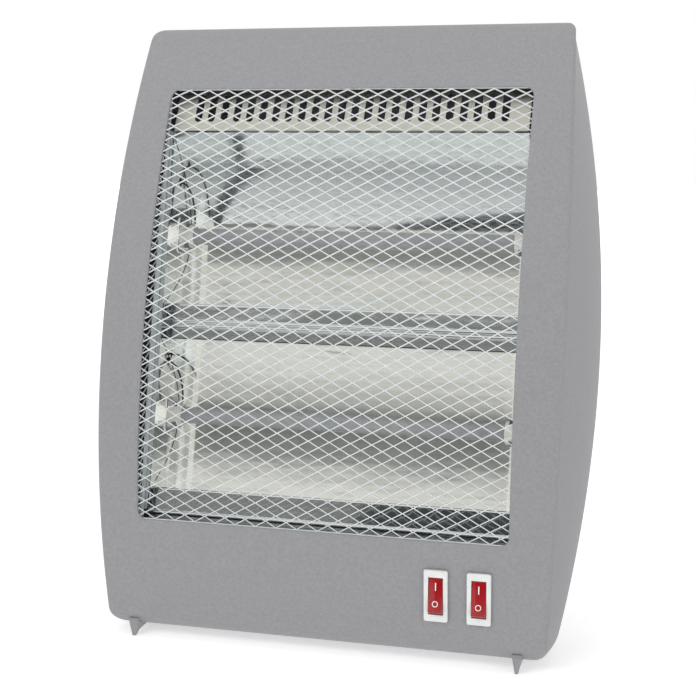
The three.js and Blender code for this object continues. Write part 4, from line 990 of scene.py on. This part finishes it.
# The pattern is bowed like the face: rows are even steps of arc length up the parabola. Its outer
# columns are folded back at the sides of the window, straight to the unit's flange. Knots are
# twisted out of the sheet by their relief.
def makeGuard():
    margin = window["rebate"] - clearance
    halfWidth = window["half"] + margin
    low = bowLength(window["bottom"] - margin + guard["rim"])
    high = bowLength(window["top"] + margin - guard["rim"])
    columns, rows = guard["columns"], guard["rows"]
    flap = columns + guard["flapColumns"]
    cellWidth, cellHeight = halfWidth / columns, (high - low) / rows
    across = guard["strand"] / cellHeight / 2 * guard["knotWide"]
    up = guard["strand"] / cellWidth * guard["knotTall"]
    flat, relief, faces = guardPattern(columns, flap, rows, across, up)

    column, row = flat[:, 0], flat[:, 1]
    inside = np.clip(row, 0, rows)
    z = heightAtBowLength(low + inside * cellHeight) + (row - inside) * guard["rim"]
    slope = faceSlope(z)
    length = np.hypot(1, slope)
    front = faceY(z) + guard["setBack"] * length
    side, run = np.sign(column), np.abs(column)
    share = np.clip(run - columns, 0, None) / (flap + 1 - columns)
    x = side * np.minimum(run * cellWidth, halfWidth)
    y = front + (flangeY(z) - guard["flapGap"] - front) * share
    onFlap = share > 0
    folded = onFlap | (np.abs(run - columns) < 1e-6)
    # outward directions: out of the bow on the front, sideways on the folded sides
    outX = np.where(folded, side, 0.0)
    outY = np.where(onFlap, 0.0, -1 / length)
    outZ = np.where(onFlap, 0.0, slope / length)
    outward = np.stack([outX, outY, outZ], 1)
    middle = np.stack([x, y + depthShift, z], 1)
    raised = np.where(folded, 0.0, relief * guard["twist"])
    half = guard["thickness"] / 2
    outer = middle + outward * (raised + half)[:, None]
    inner = middle + outward * (raised - half)[:, None]
    outer[folded, 0] = (side * halfWidth)[folded]
    inner[folded, 0] = (side * (halfWidth - 2 * half))[folded]
    vertices = np.concatenate([outer, inner])
    piece = makeObject("guard_mesh", vertices, sheetFaces(faces, len(flat)), meshWhite, 50.0)
    settle(piece, "heater", "mesh_white", "grille")


makeGuard()
print("guard mesh made")


# A side view, thickened square to itself by the sheet and drawn out along x
def sheetFromProfile(name, profile, thickness, half, material):
    profile = toArray(profile)
    step = np.gradient(profile, axis=0)
    step /= np.linalg.norm(step, axis=1)[:, None]
    normal = np.stack([step[:, 1], -step[:, 0]], 1)
    back = profile + normal * thickness
    outline = np.concatenate([profile, back[::-1]])
    rings = [unitPoints(x, outline[:, 0], outline[:, 1]) for x in (-half, half)]
    return loftObject(name, rings, material, 40.0)


# Half of a trough: it comes forwards from its vertex with the square of the distance
def parabola(reach, depth, steps=60):
    v = np.linspace(0, reach, steps)
    return np.stack([unit["focal"] - (unit["focal"] - depth) * (v / reach) ** 2, v], 1)


fillets = {"straightOn": -0.97, "mostOfSide": 0.45, "support": 1.3}


# Each corner becomes a quadratic curve that starts and ends one radius from it
def filleted(points, radius=0.8, steps=5):
    points = toArray(points)
    line = [points[0]]
    for before, corner, after in zip(points, points[1:], points[2:]):
        near = (before - corner) / np.linalg.norm(before - corner)
        far = (after - corner) / np.linalg.norm(after - corner)
        if near @ far < fillets["straightOn"]:
            line.append(corner)
            continue
        lengths = [np.linalg.norm(end - corner) for end in (before, after)]
        cut = min(radius, fillets["mostOfSide"] * min(lengths))
        # a point just before and after the fillet keeps the flat parts flat in the mirror
        if lengths[0] > 3 * cut:
            line.append(corner + near * cut * fillets["support"])
        for t in np.linspace(0, 1, steps):
            start, end = corner + near * cut, corner + far * cut
            line.append((1 - t) ** 2 * start + 2 * t * (1 - t) * corner + t**2 * end)
        if lengths[1] > 3 * cut:
            line.append(corner + far * cut * fillets["support"])
    line.append(points[-1])
    return toArray(line)


# Each trough is a parabola about its lamp, with a foot below it. The upper one runs on as the
# hood, and the lower one ends in a flat edge.
def makeReflectors():
    half = unit["halfWidth"]
    reach = unit["troughHalf"]
    lowerHalf = parabola(-reach, flangeDepth)[::-1]
    upperHalf = parabola(reach, flangeDepth)[1:]
    hood = parabola(unit["hood"], -unit["hoodFront"])[1:]

    # a flat foot, then round beads that stiffen it, and what is left of it below them
    def footLine(name, depth):
        bead, beads = unit["bead"], unit["beads"][name]
        top = -reach - unit[name + "Foot"]
        low = top - 2 * bead * beads
        line = [[depth, low - unit["footRun"][name]], [depth, low]]
        for k in range(beads):
            middle = low + bead * (2 * k + 1)
            for turn in np.radians(np.linspace(-60, 60, 7)):
                line.append([depth - bead * math.cos(turn), middle + bead * math.sin(turn)])
        return [*line, [depth, top]]

    upper = [*footLine("upper", flangeDepth - unit["footLap"]), *lowerHalf, *hood]
    # a groove parts the foot of the upper trough from the edge of the lower one
    deep, start = flangeDepth + unit["groove"][0], reach + unit["groove"][1]
    top = [[flangeDepth, reach + unit["edgeFlat"]], [deep, start], [deep, reach + unit["lowerTop"]]]
    lower = [*footLine("lower", flangeDepth), *lowerHalf, *upperHalf, *top]
    for name, profile in (("upper", upper), ("lower", lower)):
        line = filleted(profile) + toArray([0, lampHeights[name]])
        piece = sheetFromProfile(name + "_trough", line, unit["sheet"], half, mirrorAluminium)
        settle(piece, "heater", "mirror_aluminium", name + "_reflector")


makeReflectors()
print("reflectors made")

vent = {
    "half": 110.4,
    "lean": math.radians(30),
    "lip": 4.0,
    "base": 61.3,
    "height": 32.0,
    "fold": 6.0,
    "slots": 24,
    "pitch": 8.33,
    "slotWidth": 4.6,
    "slotLength": 19.5,
    "slotMiddle": 16.5,
    "lipRise": 0.4,
    "foldRound": 1.2,
    "cutReach": 4.0,
}


# The slotted panel stands on the hood's edge and leans like the face does there. Its places are
# a run up the panel and a depth behind it.
def makeVentPanel():
    tilt = vent["lean"] - unit["lean"]
    foot = lampHeights["upper"] + vent["base"]

    def onPanel(run, depth):
        back = -unit["hoodFront"] + run * math.sin(tilt) + depth * math.cos(tilt)
        return back, foot + run * math.cos(tilt) - depth * math.sin(tilt)

    top = toArray(onPanel(vent["height"], 0))
    lip = [vent["lip"] - unit["hoodFront"], foot + vent["lipRise"]]
    fold = top + toArray([vent["fold"], 1])
    profile = filleted([lip, onPanel(0, 0), top, fold], vent["foldRound"])
    panel = sheetFromProfile("slotted_panel", profile, unit["sheet"], vent["half"], ventAluminium)
    places = []
    for k in range(vent["slots"]):
        middle = (k - (vent["slots"] - 1) / 2) * vent["pitch"]

        def place(across, up, depth, middle=middle):
            return unitPoints(middle + across, *onPanel(vent["slotMiddle"] + up, depth))

        places.append(place)
    depths = (-vent["cutReach"], vent["cutReach"])
    slots = slotCutter("slots", places, vent["slotLength"], vent["slotWidth"], depths, False)
    carve(panel, [slots])
    settle(panel, "heater", "mirror_aluminium", "vent_panel")


makeVentPanel()
print("vent panel made")

lamp = {
    "radius": 5.25,
    "wall": 1.0,
    "half": 108.0,
    "bare": 102.0,
    "coilRadius": 1.5,
    "coilWire": 0.28,
    "coilPitch": 1.25,
    "coilHalf": 96.0,
    "coilSteps": 12,
    "coilSides": 5,
    "capRadius": 7.0,
    "capLength": 23.0,
    "capBore": 1.1,
    "grooveStart": 10.0,
    "grooveEnd": 13.0,
    "grooveDepth": 0.4,
    "endRound": 0.3,
    "leadReach": 7.0,
}


# A turned piece along the unit's x axis: (radius, distance) pairs, closed on itself, carried once
# round the axis at the given height
def turnedPiece(name, profile, height, material, sides=48):
    radius, distance = toArray(profile).T
    turn = np.arange(sides)[:, None] * 2 * math.pi / sides
    rings = unitPoints(distance, radius * np.cos(turn), height + radius * np.sin(turn))
    faces = ringFaces(sides, len(profile), closedAlong=True)
    return makeObject(name, rings.reshape(-1, 3), faces, material, 40.0)


# A round wire: circles square to the path, each turned as little as it can be from the last
def wireObject(name, points, radius, material, sides):
    points = toArray(points)
    step = np.gradient(points, axis=0)
    step /= np.linalg.norm(step, axis=1)[:, None]
    across = np.cross(step[0], [0, 0, 1] if abs(step[0][2]) < 0.7 else [1, 0, 0])
    section = circlePoints(radius, sides)
    rings = []
    for centre, tangent in zip(points, step):
        across = across - tangent * (across @ tangent)
        across /= np.linalg.norm(across)
        rings.append(centre + section @ np.stack([across, np.cross(tangent, across)]))
    return loftObject(name, rings, material, 60.0)


# The painted glow of each point of the tube, read from its angle round the tube's axis
def storePaintedGlow(tube, name, height):
    points = np.empty(len(tube.data.vertices) * 3)
    tube.data.vertices.foreach_get("co", points)
    points = points.reshape(-1, 3) - unitPoints(0, 0, height) * mm
    cosine, sine = math.cos(unit["lean"]), math.sin(unit["lean"])
    back = points[:, 1] * cosine - points[:, 2] * sine
    rise = points[:, 1] * sine + points[:, 2] * cosine
    angle = np.degrees(np.arctan2(rise, -back))
    values = np.interp(angle, list(quartzLook[name]), list(quartzLook[name].values()))
    tube.data.attributes.new("paintedGlowLevel", "FLOAT", "POINT").data.foreach_set("value", values)


def makeTube(name, height):
    outer, half, edge = lamp["radius"], lamp["half"], lamp["endRound"]
    inner = outer - lamp["wall"]
    rightEnd = [[outer, half - edge], [outer - edge, half], [inner, half]]
    leftEnd = [[radius, -distance] for radius, distance in rightEnd[::-1]]
    tube = turnedPiece(name + "_tube", leftEnd + rightEnd, height, quartz)
    storePaintedGlow(tube, name, height)
    settle(tube, "heater", "quartz", name + "_quartz_tube")


# The filament is a helix, with a straight tail into the cap at each end
def makeFilament(name, height):
    reach, radius = lamp["coilHalf"], lamp["coilRadius"]
    turns = 2 * reach / lamp["coilPitch"]
    t = np.linspace(0, 1, int(turns * lamp["coilSteps"]))
    angle = 2 * math.pi * turns * t
    x = -reach + 2 * reach * t
    line = unitPoints(x, radius * np.cos(angle), height + radius * np.sin(angle))
    tail = np.linspace(reach + 1, lamp["half"] + lamp["leadReach"], 6)
    tails = [unitPoints(side * tail, 0.0, height) for side in (-1, 1)]
    line = np.concatenate([tails[0][::-1], line, tails[1]])
    coil = wireObject(name + "_coil", line, lamp["coilWire"], heatingWire, lamp["coilSides"])
    settle(coil, "heater", "resistance_wire", name + "_filament")


# A cap's side view: bore for the lead, socket for the tube, round mouth, groove for the clip
def makeCap(name, height, sideName, side):
    tube, half, bare = lamp["radius"], lamp["half"], lamp["bare"]
    radius, end = lamp["capRadius"], lamp["bare"] + lamp["capLength"]
    near, far, deep = bare + lamp["grooveStart"], bare + lamp["grooveEnd"], lamp["grooveDepth"]
    profile = [
        [lamp["capBore"], end],
        [lamp["capBore"], half + 0.5],
        [tube + clearance, half + 0.4],
        [tube + clearance, bare + 0.5],
        [tube + 0.7, bare],
        [radius - 0.8, bare],
        [radius - 0.2, bare + 0.25],
        [radius, bare + 0.8],
        [radius, near],
        [radius - deep, near + 0.5],
        [radius - deep, far - 0.5],
        [radius, far],
        [radius, end - 1],
        [radius - 0.3, end - 0.3],
        [radius - 1, end],
    ]
    profile = toArray(profile) * toArray([1, side])
    cap = turnedPiece(name + "_end_" + sideName, profile, height, steatite)
    settle(cap, "heater", "steatite", name + "_cap_" + sideName)


def makeLamps():
    for name, height in lampHeights.items():
        makeTube(name, height)
        makeFilament(name, height)
        for sideName, side in (("left", -1), ("right", 1)):
            makeCap(name, height, sideName, side)


makeLamps()
print("lamps made")


bezelFront = -clearance - switches["proud"]
pivotDepth = bezelFront + switches["pivotDepth"]


# A side view drawn out along x, to half its width on either side
def prismAlongX(name, outline, half, material):
    outline = toArray(outline)
    rings = [np.column_stack([np.full(len(outline), x), outline]) for x in (-half, half)]
    return loftObject(name, rings, material, 0)


def cylinderAlongX(name, radius, half, y, sides=32):
    return prismAlongX(name, circlePoints(radius, sides) + toArray([y, 0]), half, greyAbs)


# A cutter or a block as wide and as high as given, between two depths
def centredBox(name, size, near, far, height=0.0):
    width, tall = size[0] / 2, size[1] / 2
    return boxObject(name, (-width, near, height - tall), (width, far, height + tall))


# The bezel is the rounded rectangle carried forwards and drawn in over its front edge. Behind it
# stands the case, with a well for the rocker, slots for the blades and a bore for the pin.
def makeSwitchBody(sideName, place):
    width, height = switches["bezel"]
    depth = switches["body"][2]
    outline = roundedRing(width / 2, -height / 2, height / 2, switches["corner"], 0.0, 4)
    rings = []
    edge = ((-clearance, 0), (bezelFront + 0.5, 0), (bezelFront + 0.12, 0.14), (bezelFront, 0.5))
    for ahead, shrink in edge:
        ring = outline * toArray([1 - shrink / (width / 2), 1 - shrink / (height / 2)])
        rings.append(np.column_stack([ring[:, 0], np.full(len(ring), ahead), ring[:, 1]]))
    body = loftObject("switch_frame_" + sideName, rings, whiteNylon)
    carve(body, [centredBox("case", switches["body"], -0.5, depth)], "UNION")
    tools = [centredBox("well", switches["window"], bezelFront - 1, depth - switches["floor"])]
    for z in switches["bladeHeights"]:
        tools.append(centredBox("slot", switches["bladeSlot"], depth - 3, depth + 1, z))
    tools.append(cylinderAlongX("bore", switches["pin"] + clearance, switches["holeReach"], pivotDepth))
    carve(body, tools)
    dressWhole(body, whiteNylon)
    bevel(body, switches["bodyEdge"], 2)
    body.data.transform(place)
    settle(body, "heater", "white_nylon", "switch_body_" + sideName)


def makeRocker(sideName, place):
    half = switches["rockerWidth"] / 2
    turn = Matrix.Rotation(-math.radians(switches["throw"] / 2), 4, "X")
    rockerPlace = place @ Matrix.Translation((0, pivotDepth * mm, 0)) @ turn
    rocker = prismAlongX("red_rocker_" + sideName, rockerSide(), half, redLens)
    bevel(rocker, switches["rockerEdge"], 3, 40.0)
    carve(rocker, [cylinderAlongX("pin", switches["pin"], half + 1.0, 0.0)], "UNION")
    dressWhole(rocker, redLens)
    rocker.data.transform(rockerPlace)
    settle(rocker, sideName + "_rocker", "red_lens", "rocker_" + sideName)
    for mark in makeMarks(sideName):
        mark.data.transform(rockerPlace)
        settle(mark, sideName + "_rocker", "white_nylon")


def makeSwitches():
    for sideName, side in (("left", -1), ("right", 1)):
        makeSwitchBody(sideName, switchMatrix(side))
        makeRocker(sideName, switchMatrix(side))


# Side view of a rocker about its pivot: two faces that dip towards the middle, ends on an arc,
# and a hub behind
def rockerSide():
    reach, face = switches["rockerHalf"], switches["rockerFace"]
    radius = math.hypot(reach, face)
    top = math.atan2(reach, -face)
    skirt = math.radians(74)
    arc = [[radius * math.cos(a), radius * math.sin(a)] for a in np.linspace(top, skirt, 9)]
    hub = [[1.2, 6], [3.4, 2.4], [3.4, -2.4], [1.2, -6]]
    lower = [[y, -z] for y, z in arc[::-1]]
    return [*arc, *hub, *lower, [-face + switches["rockerDip"], 0.0]]


marks = {
    "barWidth": 0.6,
    "barHeight": 4.6,
    "ringRadius": 1.75,
    "ringWidth": 0.45,
    "offset": 5.0,
    "relief": 0.12,
    "sunk": 0.05,
}


# The marks are a bar and a turned ring on the two faces of the rocker, which slope to its middle
def makeMarks(sideName):
    relief, sunk = marks["relief"], marks["sunk"]
    half, tall = marks["barWidth"] / 2, marks["barHeight"] / 2
    bar = boxObject("on_mark_" + sideName, (-half, -relief, -tall), (half, sunk, tall), whiteInk)
    outer, inner = marks["ringRadius"], marks["ringRadius"] - marks["ringWidth"]
    radius, depth = toArray([[inner, sunk], [outer, sunk], [outer, -relief], [inner, -relief]]).T
    turn = np.arange(40)[:, None] * 2 * math.pi / 40
    points = np.broadcast_arrays(radius * np.cos(turn), depth, radius * np.sin(turn))
    vertices = np.stack(points, -1).reshape(-1, 3)
    faces = ringFaces(40, 4, closedAlong=True)
    circle = makeObject("off_mark_" + sideName, vertices, faces, whiteInk, 30.0)
    slope = switches["rockerDip"] / switches["rockerHalf"]
    y = -switches["rockerFace"] + switches["rockerDip"] - slope * marks["offset"]
    for piece, side in ((bar, 1), (circle, -1)):
        place = Matrix.Translation(Vector((0, y, side * marks["offset"])) * mm)
        piece.data.transform(place @ Matrix.Rotation(side * math.atan(slope), 4, "X"))
    return [bar, circle]


makeSwitches()
print("switches made")

# Finishes of the CAD pieces by the slot names of the record, and of single pieces by their names
finishes = {
    "grey_abs": greyAbs,
    "mesh_white": meshWhite,
    "mirror_aluminium": mirrorAluminium,
    "quartz": quartz,
    "resistance_wire": heatingWire,
    "steatite": steatite,
    "spring_steel": springSteel,
    "white_nylon": whiteNylon,
    "red_lens": redLens,
    "brass": brass,
    "black_nylon": blackNylon,
    "galvanised": galvanised,
    "screw_steel": screwSteel,
    "glass_sleeve": glassSleeve,
}
special = {
    "upper_lamp_lead_left": darkLead,
    "lower_lamp_lead_left": darkLead,
}


def dressCadPieces():
    for entry in frame["record"]["subparts"]:
        name = entry["node"]
        piece = bpy.data.objects.get(name)
        if piece is None or not piece.material_slots:
            continue
        material = special.get(name, finishes[entry["material_slot"]])
        for place in piece.material_slots:
            place.material = material


dressCadPieces()
print("CAD pieces dressed")

# Grey levels are linear. The cards and the glossy level stand for the room that the mirrors see.
studio = {
    "camera": (222.82, -755.89 + depthShift, 309.82),
    "azimuth": 15.086,
    "elevation": 9.05,
    "lens": 72.3,
    "world": 0.5,
    "worldGlossy": 1.0,
    "floorGlow": 0.45,
    "floorMirrored": 0.88,
    "farGlow": 1.0,
    "horizon": 0.22,
    "shade": 0.035,
    "floorHalf": 6000.0,
    "glowStart": 0.7,
    "glowEnd": 2.5,
    "horizonCard": {"half": 4200.0, "depth": -3000.0, "height": 1900.0},
    "shadeCard": {"depth": -485.0, "height": 250.0, "left": -130.0, "leftFoot": -15.0, "right": 420.0},
    "target": (0, 0, 180),
    "key": 14,
    "fill": 4,
    "top": 7,
}


# Mirrors see the sheet at one even level, whatever light falls on it
def makeFloorMaterial():
    material, tree, shader = newMaterial("studio floor, white sheet")
    shader.inputs["Base Color"].default_value = linearColour("#f2f2f2")
    shader.inputs["Roughness"].default_value = 0.8
    shader.inputs["Emission Color"].default_value = (1, 1, 1, 1)
    # far from the object the sheet glows as white as the backdrop, so that no edge shows
    place = addNode(tree, "TexCoord")
    reach = addNode(tree, "VectorMath", {0: place.outputs["Object"]}, operation="LENGTH")
    start, end = studio["glowStart"], studio["glowEnd"]
    glow = rangeOf(tree, reach.outputs["Value"], studio["floorGlow"], studio["farGlow"], start, end)
    tree.links.new(glow, shader.inputs["Emission Strength"])
    rays = addNode(tree, "LightPath")
    even = addNode(tree, "Emission", {"Color": (1, 1, 1, 1), "Strength": studio["floorMirrored"]})
    inputs = {0: rays.outputs["Is Glossy Ray"], 1: shader.outputs[0], 2: even.outputs[0]}
    mix = addNode(tree, "MixShader", inputs)
    tree.links.new(mix.outputs[0], nodeOf(material, "OUTPUT_MATERIAL").inputs["Surface"])
    return material


def glowMaterial(name, colour, strength):
    material, _, shader = newMaterial(name)
    shader.inputs["Base Color"].default_value = (0, 0, 0, 1)
    shader.inputs["Emission Color"].default_value = linearColour(colour)
    shader.inputs["Emission Strength"].default_value = strength
    return material


# A card that only mirrors see
def addCard(name, corners, material):
    behind = [[x, y - 2, z] for x, y, z in corners]
    card = loftObject(name, [corners, behind], material, 0)
    card.visible_camera = False
    card.visible_diffuse = False
    card.visible_shadow = False
    card.visible_transmission = False


def makeStage():
    half = studio["floorHalf"]
    floor = boxObject("floor", (-half, -half, -6), (half, half, 0), makeFloorMaterial())
    card = studio["horizonCard"]
    half, y, top = card["half"], card["depth"], card["height"]
    corners = [[-half, y, 0], [half, y, 0], [half, y, top], [-half, y, top]]
    addCard("horizon_card", corners, glowMaterial("grey card", "#f7f7f2", studio["horizon"]))
    card = studio["shadeCard"]
    right, y, top = card["right"], card["depth"], card["height"]
    corners = [[card["leftFoot"], y, 1], [right, y, 1], [right, y, top], [card["left"], y, top]]
    addCard("shade_card", corners, glowMaterial("dark card", "#d8e4ff", studio["shade"]))


def addLight(name, place, size, power):
    data = bpy.data.lights.new(name, "AREA")
    data.shape = "RECTANGLE"
    data.size, data.size_y = size[0] * mm, size[1] * mm
    data.energy = power
    light = bpy.data.objects.new(name, data)
    light.location = Vector(place) * mm
    direction = (Vector(studio["target"]) - Vector(place)).normalized()
    light.rotation_euler = direction.to_track_quat("-Z", "Y").to_euler()
    light.visible_glossy = False
    bpy.context.scene.collection.objects.link(light)


# The camera sees pure white, mirrors see their own level, and all else the ambient one
def makeLights():
    addLight("key", (-900, -1500, 1500), (1200, 900), studio["key"])
    addLight("fill", (1300, -1100, 700), (900, 900), studio["fill"])
    addLight("top", (0, 200, 1900), (1600, 1200), studio["top"])
    world = bpy.data.worlds.new("studio")
    bpy.context.scene.world = world
    world.use_nodes = True
    tree = world.node_tree
    tree.nodes.clear()
    rays = addNode(tree, "LightPath")
    whites = []
    for level in (studio["world"], studio["worldGlossy"], 1.0):
        white = addNode(tree, "Background", {"Color": (1, 1, 1, 1), "Strength": level})
        whites.append(white.outputs[0])
    unseen = addNode(tree, "MixShader", {0: rays.outputs["Is Glossy Ray"], 1: whites[0], 2: whites[1]})
    inputs = {0: rays.outputs["Is Camera Ray"], 1: unseen.outputs[0], 2: whites[2]}
    addNode(tree, "OutputWorld", {"Surface": addNode(tree, "MixShader", inputs).outputs[0]})


def makeCamera():
    data = bpy.data.cameras.new("camera")
    data.lens = studio["lens"]
    data.sensor_width = 36.0
    data.clip_end = 50.0
    camera = bpy.data.objects.new("camera", data)
    azimuth, elevation = math.radians(studio["azimuth"]), math.radians(studio["elevation"])
    camera.location = Vector(studio["camera"]) * mm
    camera.rotation_euler = Euler((math.pi / 2 - elevation, 0, azimuth), "XYZ")
    bpy.context.scene.collection.objects.link(camera)
    bpy.context.scene.camera = camera


makeStage()
makeLights()
makeCamera()
bpy.context.scene.view_settings.view_transform = "Standard"
print("stage made")
